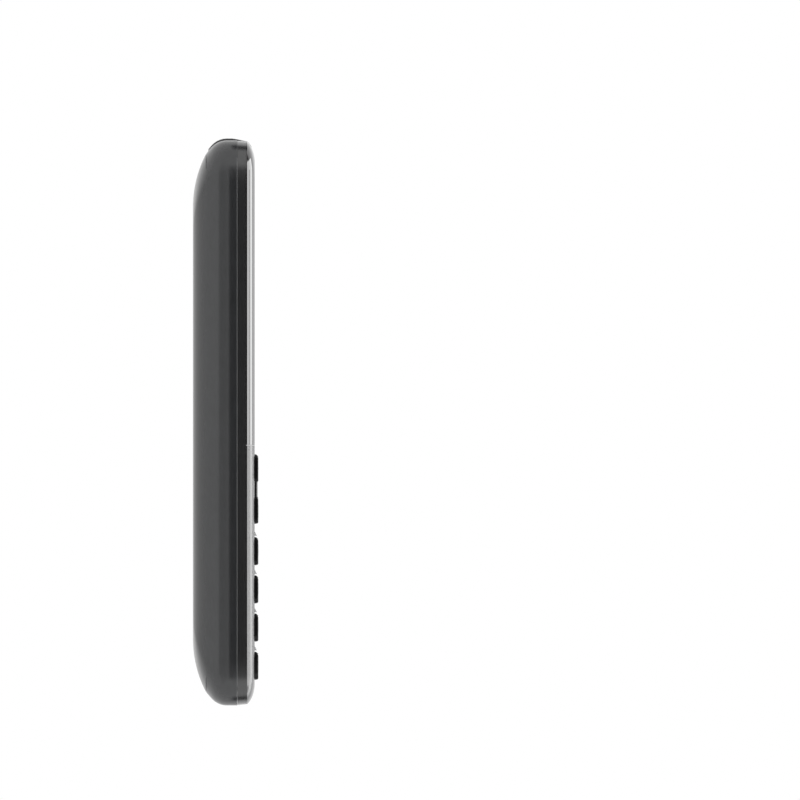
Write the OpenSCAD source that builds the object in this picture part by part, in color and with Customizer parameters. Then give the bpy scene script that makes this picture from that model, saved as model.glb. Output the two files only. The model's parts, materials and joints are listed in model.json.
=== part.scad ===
// Bar-type feature phone lying on its back with the screen up.
// X runs across the phone, Y along it towards the torch end, Z from the flat back to the keys.
// Lengths are in millimetres and angles in degrees.

/* [Body] */
// Width of the rim beside the display
rim_w = 5.7; // [5.2:0.1:7]
// Plan radius of the four corners
corner_r = 6; // [5:0.25:7]
// Height of the front band between the seam and the edge of the bevel
band_h = 1.8; // [1.6:0.05:2.2]
// Gap that shows along the seam
seam_gap = 0.12; // [0.06:0.02:0.3]
// Width of the rounded shoulder along each side of the back
shoulder_w = 8.4; // [7.6:0.2:9]
// Height of the crease across each end of the back
crease_z = 2.65; // [2:0.05:3]
// Distance of that crease from the end face
crease_in = 2.7; // [2.4:0.1:3]
// Length of the end cap from the crease to the flat of the back
cap_l = 10.8; // [8:0.2:12]
// Slope of the end wall above the crease
ramp_a = 41; // [38:1:46]
// Radius that turns the end wall upright
end_r = 4.2; // [3.4:0.1:4.6]
// Draft of the upright front wall
draft = 0.25; // [0:0.05:0.4]
// Width of the front bevel along the sides
bevel_side = 3.2; // [2.6:0.1:3.4]
// Width of the front bevel across the ends
bevel_end = 4; // [3:0.1:4.2]
// Steepness at which the front bevel starts
bevel_a = 30; // [20:1:40]

/* [Shells] */
// Wall of the rear cover and of the front housing
wall = 1.2; // [1:0.05:1.4]
// Wall of the middle frame
frame_wall = 1; // [0.8:0.05:1.2]
// Clearance between pieces that stay put
fit = 0.2; // [0.1:0.02:0.3]
// Thickness of the frame lip
lip_t = 0.7; // [0.5:0.05:0.8]
// Thickness of the front plate round the keys
plate_t = 1.2; // [1:0.05:1.3]
// Length of each locating tab inside the rear cover
tab_l = 4; // [3:0.5:6]
// Distance of the outer tabs from the middle of the phone
tab_y = 30; // [26:1:34]
// Height of the pry slot
pry_h = 0.55; // [0.4:0.05:0.7]
// Depth of the pry slot below the seam
pry_drop = 1.4; // [1.2:0.05:1.6]
// Reach of the pry slot along the bottom end
pry_x = 5.6; // [4:0.2:6]
// Reach of the pry slot along the right side
pry_y = 4.8; // [4:0.2:5.4]

/* [Battery] */
// Reach of the battery past the flat of the back
battery_over = 1.6; // [1:0.1:2]
// Space between the lower screw posts and the battery bay
bay_low = 2; // [1:0.1:4]
// Space between the loudspeaker chamber and the battery bay
bay_high = 7.7; // [6.5:0.1:9]
// Thickness of the battery
battery_t = 4.3; // [4:0.05:4.8]
// Length of the plastic battery cap
battery_cap_l = 3; // [2:0.2:5]
// Gap between the battery and the rear cover
cover_gap = 0.4; // [0.35:0.05:0.6]
// Thickness of the battery bay ceiling
ceiling_t = 0.6; // [0.5:0.05:0.8]

/* [Board] */
// Space under the board for low components
board_gap = 0.8; // [0.7:0.05:1]
// Thickness of the board
board_t = 0.8; // [0.6:0.05:1]
// Width and length of a SIM socket
sim_size = [13, 14];
// Distance of each SIM socket from the middle
sim_x = 7.6; // [7:0.1:8.4]
// Width and length of the memory card socket
card_size = [12, 13];
// Thickness of the SIM and card sockets
socket_t = 1.2; // [1:0.05:1.3]
// Width, depth and height of the battery connector
battery_plug = [9, 3, 3.4];
// Width, length and height of the shield can
shield = [14, 14, 1.6];
// Width, length and height of the antenna carrier
antenna_size = [9.5, 11, 3];
// Distance of the antenna carrier from the bottom end
antenna_in = 6.6; // [6:0.1:7]

/* [Display] */
// Width of the display
lcd_w = 34.6; // [32:0.2:35.4]
// Length of the display
lcd_l = 46; // [42:0.2:46.6]
// Distance of the display from the top end
lcd_top = 10.4; // [10:0.1:11]
// Thickness of the backlight
backlight_t = 1.3; // [1.1:0.05:1.8]
// Thickness of the display glass
glass_t = 0.8; // [0.6:0.05:1]
// Thickness of the foam gasket under the lens
gasket_t = 0.35; // [0.2:0.05:0.6]
// Width of the foam gasket
gasket_w = 1.4; // [1:0.1:2]
// Thickness of the lens, which is also the height of the front bevel
lens_t = 1.7; // [1.5:0.05:1.8]
// Distance of the lens from the top keys
lens_gap = 1.8; // [1.6:0.1:2.4]
// Room for the flat cable between the lens edge and the display
flex_gap = 5.45; // [5:0.05:8]
// Width of the flat cable of the display
flex_w = 10; // [6:0.5:14]

/* [Keys] */
// Distance of the outer keys from the sides
key_side = 3.5; // [3.2:0.1:5]
// Length of a key
key_l = 5.7; // [5.2:0.1:5.9]
// Gap between the columns
col_gap = 2.4; // [2.2:0.1:2.6]
// Gap between the rows of numbers
row_gap = 2.05; // [1.9:0.05:2.3]
// Gap between the rows above the numbers
nav_gap = 2.7; // [2.4:0.1:3]
// Distance of the lowest keys from the bottom end
key_margin = 5.2; // [5:0.1:5.8]
// Corner radius of the keys
key_r = 1.5; // [1:0.1:2]
// Height of the keys above the front plate
key_proud = 0.8; // [0.5:0.05:1.2]
// Length of the slopes at the upper and lower edge of a key
key_lead = 0.5; // [0.3:0.05:0.8]
// Height above the front plate at which those slopes start
key_lead_z = 0.4; // [0.2:0.05:0.5]
// Length of the rib on the front plate above a number key
rib_l = 0.9; // [0.6:0.05:1.2]
// Height of that rib
rib_h = 0.5; // [0.3:0.05:0.6]
// Side clearance of a key in its opening
key_fit = 0.15; // [0.1:0.02:0.25]
// Flange that keeps a key under the plate
key_flange = 0.4; // [0.3:0.05:0.5]
// Thickness of that flange
flange_t = 0.5; // [0.4:0.05:0.6]
// Travel of a key
key_travel = 0.3; // [0.2:0.02:0.35]
// Radius of the plunger under a key
plunger_r = 1.2; // [0.9:0.05:1.4]
// Width of the navigation ring
nav_w = 11.2; // [10.6:0.2:12]
// Height of the navigation ring above the front plate
nav_proud = 0.5; // [0.3:0.05:0.7]
// Width of the OK key
ok_w = 5.5; // [5:0.1:6]
// Side clearance of the OK key in the ring
ok_gap = 0.3; // [0.2:0.02:0.4]
// Clearance above and below the ring for its tilt
tilt_fit = 0.45; // [0.44:0.02:0.5]
// Radius of the pivots that the rocker tilts on
pivot_r = 0.35; // [0.3:0.05:0.4]
// Radius of a dome contact
dome_r = 1.9; // [1.6:0.1:2]
// Height of a dome contact
dome_h = 0.25; // [0.2:0.05:0.3]
// Thickness of the dome film
film_t = 0.1; // [0.08:0.02:0.15]
// Thickness of the keypad mat
mat_t = 0.35; // [0.3:0.05:0.5]

/* [Sound and torch] */
// Width, length and height of the loudspeaker
speaker = [12, 16, 3];
// Distance of the loudspeaker from the middle
speaker_x = 8; // [7:0.5:10]
// Distance of the loudspeaker from the top end
speaker_top = 20; // [18:0.5:22]
// Number of slots in front of the loudspeaker
slot_count = 5; // [3:1:6]
// Length of each slot
slot_l = 8; // [5:0.5:9]
// Distance between two slots
slot_pitch = 2; // [1.6:0.1:2.2]
// Width of each slot
slot_w = 0.9; // [0.6:0.1:1.1]
// Width, depth and height of the earpiece
earpiece_size = [9, 5, 1.9];
// Space between the display and the earpiece
ear_gap = 1; // [0.6:0.1:1.4]
// Width and height of the earpiece slot
ear_slot = [11, 1.4];
// Radius of the vibration motor
motor_r = 2.1; // [1.6:0.1:2.2]
// Length of the vibration motor
motor_l = 8; // [6:0.5:9]
// Distance of the motor from the top end
motor_top = 10.6; // [10:0.2:11]
// Distance of the torch from the middle
torch_x = 9; // [8.4:0.2:9.4]
// Radius of the torch bezel
torch_r = 4.4; // [4:0.1:4.6]
// Radius of the torch lens
torch_lens_r = 2.2; // [1.8:0.1:2.4]
// Height of the torch lens above the end face
torch_proud = 0.2; // [0.1:0.05:0.3]
// Width of the lip round the torch bezel
torch_lip = 0.7; // [0.5:0.05:0.9]
// Height of the torch bezel above the end face
torch_rise = 0.4; // [0.3:0.05:0.5]

/* [Connectors] */
// Distance of the audio jack from the middle
jack_x = 8.5; // [8.2:0.1:9]
// Bore radius of the audio jack
jack_r = 1.8; // [1.76:0.01:1.85]
// Width, length and height of the audio jack
jack = [6.4, 11.5, 5.2];
// Height of the bore above the back of the jack
jack_axis = 2.3; // [2.3:0.05:2.6]
// Height of the audio jack above the board
jack_rise = 0.6; // [0.4:0.05:0.8]
// Distance of the audio jack from the bottom end
jack_in = 3.8; // [3.4:0.1:4.4]
// Distance of the USB socket from the middle
usb_x = 0.5; // [0:0.1:0.6]
// Width, depth and height of the USB socket
usb = [7.5, 5, 2.4];
// Sheet thickness of the USB shell
usb_sheet = 0.3; // [0.25:0.05:0.4]
// Bevel of the two front corners of the USB shell
usb_bevel = 0.8; // [0.5:0.1:1]
// Distance of the microphone from the middle
mic_x = 15.4; // [15:0.1:16]
// Radius of the microphone hole
mic_r = 0.6; // [0.4:0.05:0.8]
// Width, depth and height of the microphone boot
mic_boot_size = [3.6, 3.2, 2.6];
// Distance of the microphone boot from the bottom end
mic_in = 1.9; // [1.7:0.1:2.4]

/* [Screws] */
// Radius of a screw shank
screw_r = 0.7; // [0.6:0.05:0.8]
// Radius of a screw head
head_r = 1.25; // [1.1:0.05:1.4]
// Height of a screw head
head_h = 0.8; // [0.6:0.05:1]
// Length of a screw under its head
screw_l = 5; // [4.6:0.1:5.2]
// Distance of a screw tip from the front of the lens seat
screw_tip = 0.8; // [0.6:0.05:1]
// Radius of a screw post
post_r = 1.6; // [1.5:0.05:1.7]

/* [Hidden] */
$fn = 48;
eps = 0.02;
corner_n = 6;
cap_n = 5;
wall_n = 6;
bevel_n = 5;

// Width from the display and its rim, length from the keypad and the display
body_w = lcd_w + 2*rim_w;
pad_l = 4*key_l + 3*row_gap + 2*(nav_gap + key_l);
body_l = key_margin + pad_l + lens_gap + flex_gap + lcd_l + lcd_top;

// Ends of the body, with the torch bezel included in the overall length
bot_y = -(body_l + torch_rise)/2;
top_y = bot_y + body_l;
mid_y = (bot_y + top_y)/2;
half_w = body_w/2;
half_l = body_l/2;

// Heights from the back to the front
battery_z0 = wall + cover_gap;
battery_z1 = battery_z0 + battery_t;
ceiling_z0 = battery_z1 + fit;
ceiling_z1 = ceiling_z0 + ceiling_t;
board_z0 = ceiling_z1 + board_gap;
board_z1 = board_z0 + board_t;
seat = 0.05;
lcd_z0 = board_z1 + seat;
lcd_z1 = lcd_z0 + backlight_t;
glass_z1 = lcd_z1 + glass_t;
lens_z0 = glass_z1 + gasket_t;
seam_z = lens_z0 - band_h;
pry_z = seam_z - pry_drop;
body_t = lens_z0 + lens_t;
plate_z0 = body_t - plate_t;
rail_z0 = lens_z0 - plate_t;
lip_z1 = rail_z0 - seat;
flange_z1 = plate_z0 - seat;
flange_z0 = flange_z1 - flange_t;
dome_z1 = board_z1 + film_t + dome_h;
plunger_z0 = dome_z1 + key_travel + seat;
mat_z1 = flange_z0 - key_travel - seat;
mat_z0 = mat_z1 - mat_t;

// End profile
cap_r = (cap_l*cap_l + crease_z*crease_z)/(2*crease_z);
cap_start = crease_in + cap_l;
arc_in = end_r*(1 - sin(ramp_a));
ramp_z1 = crease_z + (crease_in - arc_in)*tan(ramp_a);
end_flat_z = ramp_z1 + end_r*cos(ramp_a);

// Offsets of the frame and the board from the outside
frame_in = wall + fit;
frame_inner = frame_in + frame_wall;
housing_in = draft + wall;
lip_in = housing_in + fit;
board_in = max(frame_inner, lip_in + lip_t) + fit;
board_hx = half_w - board_in;
board_hy = half_l - board_in;
front_in = max(draft + bevel_side*0.7, housing_in + 0.6);
front_end_in = draft + bevel_end*0.85;

// Keypad layout
key_w = (body_w - 2*key_side - 2*col_gap)/3;
pitch_x = key_w + col_gap;
pitch_y = key_l + row_gap;
nav_pitch = key_l + nav_gap;
row_y = [for (i = [0:3]) bot_y + key_margin + key_l/2 + i*pitch_y];
call_y = row_y[3] + nav_pitch;
soft_y = call_y + nav_pitch;
nav_y = (call_y + soft_y)/2;
nav_l = nav_pitch + key_l;
pad_y0 = row_y[0] - key_l/2;
pad_y1 = soft_y + key_l/2;
pad_hx = pitch_x + key_w/2;
lens_y0 = pad_y1 + lens_gap;
ok_hole = ok_w + 2*ok_gap;
nav_flange_z1 = plate_z0 - tilt_fit;
nav_flange_z0 = nav_flange_z1 - flange_t + 0.1;
rocker_z1 = nav_flange_z0 - tilt_fit;
rocker_z0 = rocker_z1 - 0.4;
rocker_hx = nav_w/2 - 0.6;
rocker_hy = nav_l/2 - 0.6;
dome_xy = concat(
    [for (r = [0:3]) for (c = [-1:1]) [c*pitch_x, row_y[r]]],
    [for (s = [-1, 1]) for (y = [call_y, soft_y]) [s*pitch_x, y]]);
nav_xy = [[0, 0], [rocker_hx - 1.2, 0], [1.2 - rocker_hx, 0], [0, rocker_hy - 1.2], [0, 1.2 - rocker_hy]];

// Battery bay
speaker_y = top_y - speaker_top;
low_screw_y = (row_y[1] + row_y[2])/2;
battery_w = 2*(half_w - shoulder_w + battery_over);
battery_y0 = low_screw_y + post_r + bay_low + frame_wall + fit;
battery_y1 = speaker_y - speaker[1]/2 - 2*(fit + frame_wall) - bay_high;
battery_l = battery_y1 - battery_y0;
battery_y = (battery_y0 + battery_y1)/2;
bay_hx = battery_w/2 + fit;
bay_hy = battery_l/2 + fit;

// Screws, placed from the key rows, the battery bay and the top end
front_post_r = post_r - 0.2;
screw_z1 = lens_z0 - screw_tip;
head_z1 = screw_z1 - screw_l;
mid_screw_x = half_w - frame_inner - fit - front_post_r;
mid_screw_y = battery_y1 + fit + frame_wall + post_r + 2.2;
top_screw_y = top_y - 4.6;
top_screw_x = half_w - corner_r - 0.5;
screw_xy = [
    [pitch_x/2, low_screw_y], [-pitch_x/2, low_screw_y],
    [mid_screw_x, mid_screw_y], [-mid_screw_x, mid_screw_y],
    [top_screw_x, top_screw_y], [-top_screw_x, top_screw_y]];

// Connectors and openings at the ends, level with the board
jack_z1 = board_z1 + jack_rise;
jack_z0 = jack_z1 - jack[2];
jack_z = jack_z0 + jack_axis;
usb_z = board_z1 - seat - usb[2]/2;
mic_z = board_z0;
torch_z = board_z0;
torch_back_y = top_y - frame_inner - 0.8;
plug_y = bot_y + frame_in;
jack_y0 = bot_y + jack_in;
jack_y1 = jack_y0 + jack[1];
mic_y0 = bot_y + mic_in;
mic_y1 = mic_y0 + mic_boot_size[1];
speaker_z0 = wall + cover_gap + 1.3;
motor_y = top_y - motor_top;
motor_z = board_z0 - motor_r - 0.2;
motor_x = 1.2;
weight_x = motor_x + motor_l + 1;
weight_l = 3.4;
lcd_y1 = top_y - lcd_top;
lcd_y0 = lcd_y1 - lcd_l;
lcd_y = (lcd_y0 + lcd_y1)/2;
ear_y = lcd_y1 + ear_gap + earpiece_size[1]/2;
flex_plug_y = lcd_y0 - 2.7;
plug_back_y = battery_y1 + fit + 0.2;
shield_x = speaker[0]/2 - speaker_x + fit + frame_wall + 1.8 + shield[0]/2;
shield_y = plug_back_y + battery_plug[1] + 0.8 + shield[1]/2;
sim_y = battery_y1 - 10;
card_y = battery_y0 + 13;

// Inset of the side at height z for a shell offset inwards by t
function side_in(z, t) =
    t + (shoulder_w - t)*(1 - sqrt(max(0, 1 - pow((seam_z - z)/(seam_z - t), 2))));

// Inset of the end at height z on the outside
function end_out(z) =
    z < crease_z ? cap_start - sqrt(max(0, cap_r*cap_r - pow(cap_r - max(0, z), 2)))
    : z < ramp_z1 ? crease_in - (z - crease_z)/tan(ramp_a)
    : z < end_flat_z ? end_r - sqrt(max(0, end_r*end_r - pow(end_flat_z - z, 2)))
    : 0;

// Inset of the end at height z for a shell offset inwards by t
function end_in(z, t) = t <= 0 ? end_out(z) + t : max(t, end_out(z - t));

// Points of a rounded rectangle, counter-clockwise
function rounded(hx, hy, r, n = corner_n) =
    [for (c = [0:3]) for (i = [0:n])
        let (a = 90*c + 90*i/n, sx = c == 0 || c == 3 ? 1 : -1, sy = c < 2 ? 1 : -1)
        [sx*(hx - r) + r*cos(a), sy*(hy - r) + r*sin(a)]];

// The same points as a ring at height z, centred on the body
function ring(hx, hy, r, z, n = corner_n) = [for (p = rounded(hx, hy, r, n)) [p[0], p[1] + mid_y, z]];

// Heights of the rear rings for an offset t, one of them on the crease
function rear_z(t, n1, n2) =
    let (s = seam_z - t, a = acos((s - crease_z)/s))
    concat([for (i = [0:n1]) seam_z - s*cos(a*i/n1)],
        [for (i = [1:n2]) seam_z - s*cos(a + (90 - a)*i/n2)]);

// Rings of the rear half for an offset t
function rear_rings(t, n1 = cap_n, n2 = wall_n, n = corner_n) =
    [for (z = rear_z(t, n1, n2))
        ring(half_w - side_in(z, t), half_l - end_in(z, t), max(1, corner_r - max(0, t)), z, n)];

// Ring above the seam that keeps a cavity of offset t open
function open_ring(t) = ring(half_w - t, half_l - t, max(1, corner_r - t), seam_z + 1, 4);

// Rings of the convex front bevel for an offset t
function bevel_rings(t = 0, n = corner_n) =
    [for (i = [0:bevel_n])
        let (u = bevel_a + (90 - bevel_a)*i/bevel_n, k = 1 - cos(u)/cos(bevel_a),
            x = draft + bevel_side*k + t, y = draft + bevel_end*k + t)
        ring(half_w - x, half_l - y, max(1, corner_r - x),
            lens_z0 + lens_t*(sin(u) - sin(bevel_a))/(1 - sin(bevel_a)) - t, n)];

// Rings of the front half from the seam up
front_rings = concat([ring(half_w, half_l, corner_r, seam_z + seam_gap)], bevel_rings());

// Solid through a stack of rings
module loft(rings) {
    n = len(rings[0]);
    m = len(rings);
    polyhedron(
        points = [for (r = rings) for (p = r) p],
        faces = concat(
            [[for (i = [0:n - 1]) i]],
            [for (k = [0:m - 2]) for (i = [0:n - 1])
                let (j = (i + 1) % n) [k*n + i, (k + 1)*n + i, (k + 1)*n + j]],
            [for (k = [0:m - 2]) for (i = [0:n - 1])
                let (j = (i + 1) % n) [k*n + i, (k + 1)*n + j, k*n + j]],
            [[for (i = [n - 1:-1:0]) (m - 1)*n + i]]));
}

// Upright block with rounded corners
module slab(hx, hy, r, z0, z1, x = 0, y = 0, n = corner_n) {
    translate([x, y, z0]) linear_extrude(z1 - z0) polygon(rounded(hx, hy, r, n));
}

// Upright block with square corners
module box(x0, x1, y0, y1, z0, z1) {
    translate([x0, y0, z0]) cube([x1 - x0, y1 - y0, z1 - z0]);
}

// Block that follows the body outline, set in by dx at the sides and dy at the ends
module outline(dx, dy, z0, z1) {
    slab(half_w - dx, half_l - dy, max(0.6, corner_r - dx), z0, z1, y = mid_y);
}

// Cylinder along the phone
module rod(x, z, r, y0, y1) {
    translate([x, y1, z]) rotate([90, 0, 0]) cylinder(r = r, h = y1 - y0);
}

// Profile given in X and Z, run along the phone
module run_y(x, z, y0, y1) {
    translate([x, y1, z]) rotate([90, 0, 0]) linear_extrude(y1 - y0) children();
}

// Outline of the USB socket, narrower towards the front
module usb_profile(grow) {
    w = usb[0]/2 + grow;
    h = usb[2]/2 + grow;
    b = usb_bevel;
    polygon([[-w, -h], [w, -h], [w, h - b], [w - b, h], [b - w, h], [-w, h - b]]);
}

// Cut for the torch bezel, open towards the front
module torch_cut(grow) {
    rod(torch_x, torch_z, torch_r + grow, torch_back_y - 1, top_y + 2);
    box(torch_x - torch_r - grow, torch_x + torch_r + grow, torch_back_y - 1, top_y + 2,
        torch_z, seam_z + seam_gap + eps);
}

// Openings of the connectors through the bottom end
module bottom_openings(y1) {
    rod(-jack_x, jack_z, jack_r + 0.3, bot_y - 1, y1);
    run_y(-usb_x, usb_z, bot_y - 1, y1) usb_profile(0.05);
    rod(-mic_x, mic_z, mic_r, bot_y - 1, y1);
}

// Room round the audio jack, from y0 on
module jack_room(z0, z1, y0 = jack_y0 - fit) {
    box(-jack_x - jack[0]/2 - fit, -jack_x + jack[0]/2 + fit, y0, jack_y1 + fit, z0, z1);
}

// Corner of the pry slot
module pry_corner(z0, z1) {
    box(half_w - pry_x, half_w + 1, bot_y - 1, bot_y + pry_y, z0, z1);
}

// Locating tabs inside the rear cover, or their slots in the frame
module cover_tabs(grow, z0) {
    for (s = [-1, 1]) for (y = [-tab_y, 0, tab_y])
        translate([s*(half_w - frame_in + 0.1), mid_y + y, (z0 + seam_z - 0.3)/2])
            cube([1.2 + 2*grow, tab_l + 2*grow, seam_z - 0.3 - z0 + 2*grow], center = true);
}

module rear_cover() {
    color([0.31, 0.32, 0.33]) difference() {
        union() {
            difference() {
                loft(rear_rings(0));
                loft(concat(rear_rings(wall, 4, 4, 4), [open_ring(wall)]));
            }
            intersection() {
                cover_tabs(0, seam_z - 2.4);
                loft(rear_rings(wall/2, 4, 4, 4));
            }
        }
        torch_cut(0.12);
        bottom_openings(bot_y + 6);
        pry_corner(pry_z, seam_z + 1);
        for (i = [0:slot_count - 1])
            translate([-speaker_x, speaker_y + (i - (slot_count - 1)/2)*slot_pitch, 0])
                box(-slot_l/2, slot_l/2, -slot_w/2, slot_w/2, -1, wall + 1);
    }
}

module speaker_mesh() {
    color([0.08, 0.08, 0.08])
        slab(slot_l/2 + 0.6, (slot_pitch*(slot_count - 1) + slot_w)/2 + 0.6, 1, wall, wall + 0.1,
            -speaker_x, speaker_y);
}

module mid_frame() {
    color([0.1, 0.1, 0.11]) difference() {
        union() {
            difference() {
                loft(rear_rings(frame_in, 4, 4, 4));
                loft(concat(rear_rings(frame_inner, 4, 4, 4), [open_ring(frame_inner)]));
            }
            // Lip inside the front housing
            difference() {
                outline(lip_in, lip_in, seam_z - 1, lip_z1);
                outline(lip_in + lip_t, lip_in + lip_t, seam_z - 2, lip_z1 + 1);
            }
            // Ledge under the edge of the board
            difference() {
                outline(frame_in + 0.4, frame_in + 0.4, board_z0 - 0.6, board_z0);
                outline(board_in + 0.8, board_in + 0.8, board_z0 - 1, board_z0 + 1);
            }
            // Battery bay walls, screw posts and loudspeaker chamber, trimmed to the frame
            intersection() {
                loft(rear_rings(frame_in, 4, 4, 4));
                union() {
                    slab(bay_hx + frame_wall, bay_hy + frame_wall, 1.4, 0, ceiling_z1, 0, battery_y, 3);
                    for (p = screw_xy) translate([p[0], p[1], 0]) cylinder(r = post_r, h = board_z0);
                    slab(speaker[0]/2 + fit + frame_wall, speaker[1]/2 + fit + frame_wall, 1.6,
                        0, speaker_z0 + speaker[2], -speaker_x, speaker_y, 3);
                }
            }
            // Pad that closes the pry slot on the frame side
            difference() {
                intersection() {
                    outline(0.15, 0.15, pry_z + pry_h, seam_z);
                    pry_corner(pry_z + pry_h, seam_z);
                }
                outline(frame_in + 0.5, frame_in + 0.5, seam_z - 3, seam_z + 1);
            }
        }
        // Battery bay with its openings to the board
        slab(bay_hx, bay_hy, 0.6, -1, ceiling_z0, 0, battery_y, 3);
        for (s = [-1, 1])
            slab(sim_size[0]/2 + fit, sim_size[1]/2 + fit, 0.5, 0, board_z0 + 1, s*sim_x, sim_y, 2);
        slab(card_size[0]/2 + fit, card_size[1]/2 + fit, 0.5, 0, board_z0 + 1, 0, card_y, 2);
        box(-battery_plug[0]/2 - fit, battery_plug[0]/2 + fit, battery_y1, battery_y1 + frame_wall + 1,
            board_z0 - battery_plug[2] - fit, ceiling_z1 + 1);
        // Loudspeaker seat, open to the back
        slab(speaker[0]/2 + fit, speaker[1]/2 + fit, 1.2,
            -1, speaker_z0 + speaker[2] + 1, -speaker_x, speaker_y, 3);
        // Screw holes with sunk heads
        for (p = screw_xy) {
            translate([p[0], p[1], -1]) cylinder(r = head_r + fit, h = head_z1 + 1);
            translate([p[0], p[1], 0]) cylinder(r = screw_r + 0.1, h = board_z0 + 1);
        }
        // Openings at both ends and slots for the cover tabs
        torch_cut(0.05);
        rod(torch_x, torch_z, torch_r + 0.05, torch_back_y - 1, top_y + 1);
        bottom_openings(bot_y + 6);
        jack_room(jack_z0 - fit, seam_z - 0.5);
        box(-usb_x - usb[0]/2 - fit, -usb_x + usb[0]/2 + fit, plug_y - 0.1, plug_y + usb[1] + fit,
            usb_z - usb[2]/2 - fit, seam_z - 0.5);
        box(-mic_x - mic_boot_size[0]/2 - fit, -mic_x + mic_boot_size[0]/2 + fit, mic_y0 - 0.1,
            mic_y1 + fit, board_z1 - mic_boot_size[2] - fit, board_z1 + fit);
        cover_tabs(0.25, -2);
    }
}

// Rib that rises towards the upper edge of a number key
module key_rib(x, y) {
    w = key_w/2 - key_r/2;
    z0 = body_t - plate_t/4;
    translate([x, y + key_l/2 + key_fit + 0.1, 0]) intersection() {
        translate([-key_w/2, 0, 0]) rotate([90, 0, 90]) linear_extrude(key_w)
            polygon([[0, z0], [rib_l, z0], [rib_l, body_t], [0, body_t + rib_h]]);
        run_y(0, 0, -1, rib_l + 1) polygon([[-w, z0], [w, z0], [w, body_t],
            [w - rib_h, body_t + rib_h], [rib_h - w, body_t + rib_h], [-w, body_t]]);
    }
}

module front_housing() {
    color([0.13, 0.13, 0.14]) difference() {
        union() {
            difference() {
                loft(front_rings);
                outline(housing_in, housing_in, 0, rail_z0);
                // Room under the key plate
                intersection() {
                    outline(front_in, front_end_in, 0, plate_z0);
                    box(-half_w, half_w, bot_y, lens_y0 - wall, 0, body_t);
                }
                // Seat of the lens
                box(-half_w - 1, half_w + 1, lens_y0, top_y + 1, lens_z0, body_t + 1);
            }
            for (p = screw_xy) translate([p[0], p[1], board_z1 + seat])
                cylinder(r = front_post_r, h = (p[1] < lens_y0 ? plate_z0 : rail_z0) + 0.1 - board_z1);
            for (y = row_y) for (c = [-1:1]) key_rib(c*pitch_x, y);
        }
        // Display opening and earpiece pocket
        slab(lcd_w/2 + fit, lcd_l/2 + fit, 0.8, 0, body_t, 0, lcd_y, 3);
        slab(earpiece_size[0]/2 + fit, earpiece_size[1]/2 + fit, 0.6,
            0, lcd_z0 + earpiece_size[2] + 0.1, 0, ear_y, 2);
        slab(ear_slot[0]/2 - 1.5, ear_slot[1]/2, 0.5, 0, body_t, 0, ear_y, 3);
        // Key openings
        for (p = dome_xy)
            slab(key_w/2 + key_fit, key_l/2 + key_fit, key_r + key_fit, plate_z0 - 1, body_t + 1, p[0], p[1]);
        slab(nav_w/2 + key_fit, nav_l/2 + key_fit, 4, plate_z0 - 1, body_t + 1, 0, nav_y);
        for (p = screw_xy) translate([p[0], p[1], 0]) cylinder(r = screw_r, h = screw_z1 + 0.1);
        rod(torch_x, torch_z, torch_r + 0.12, torch_back_y - 1, top_y + 2);
    }
}

module display_lens() {
    color([0.03, 0.03, 0.035]) difference() {
        intersection() {
            loft(front_rings);
            box(-half_w - 1, half_w + 1, lens_y0 + 0.06, top_y + 1, lens_z0, body_t + 1);
        }
        slab(ear_slot[0]/2, ear_slot[1]/2, 0.6, 0, body_t + 1, 0, ear_y, 4);
        rod(torch_x, torch_z, torch_r + 0.12, torch_back_y - 1, top_y + 2);
    }
}

module display_gasket() {
    color([0.05, 0.05, 0.05]) difference() {
        slab(lcd_w/2, lcd_l/2, 0.6, glass_z1, lens_z0, 0, lcd_y, 3);
        slab(lcd_w/2 - gasket_w, lcd_l/2 - gasket_w, 0.4, 0, body_t, 0, lcd_y, 2);
    }
}

module display_glass() {
    color([0.1, 0.12, 0.15]) slab(lcd_w/2 - 0.3, lcd_l/2 - 0.3, 0.3, lcd_z1, glass_z1, 0, lcd_y, 2);
}

module display_backlight() {
    color([0.85, 0.85, 0.82]) slab(lcd_w/2, lcd_l/2, 0.6, lcd_z0, lcd_z1, 0, lcd_y, 3);
}

// Flat cable from the display to its plug on the board
module display_flex() {
    color([0.75, 0.45, 0.12]) union() {
        box(-flex_w/2, flex_w/2, flex_plug_y - 1.4, flex_plug_y + 1.4, board_z1, board_z1 + 0.8);
        box(-flex_w/2 + 0.5, flex_w/2 - 0.5, flex_plug_y, lcd_y0 - seat, board_z1 + 0.5, board_z1 + 0.65);
    }
}

module main_board() {
    color([0.05, 0.3, 0.16]) difference() {
        slab(board_hx, board_hy, max(1, corner_r - board_in), board_z0, board_z1, y = mid_y);
        for (p = screw_xy) translate([p[0], p[1], 0]) cylinder(r = screw_r + 0.3, h = body_t);
        for (s = [-1, 1]) box(s > 0 ? mid_screw_x : -half_w, s > 0 ? half_w : -mid_screw_x,
            mid_screw_y - screw_r - 0.3, mid_screw_y + screw_r + 0.3, 0, body_t);
        // Cut-outs for the sunk connectors and the torch
        jack_room(0, body_t, bot_y);
        box(-usb_x - usb[0]/2 - fit, -usb_x + usb[0]/2 + fit, bot_y, plug_y + usb[1] + fit, 0, body_t);
        box(-mic_x - mic_boot_size[0]/2 - fit, -mic_x + mic_boot_size[0]/2 + fit, bot_y,
            mic_y1 + fit, 0, body_t);
        box(torch_x - torch_r - fit, torch_x + torch_r + fit, torch_back_y - 0.4 - fit, top_y, 0, body_t);
    }
}

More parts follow.
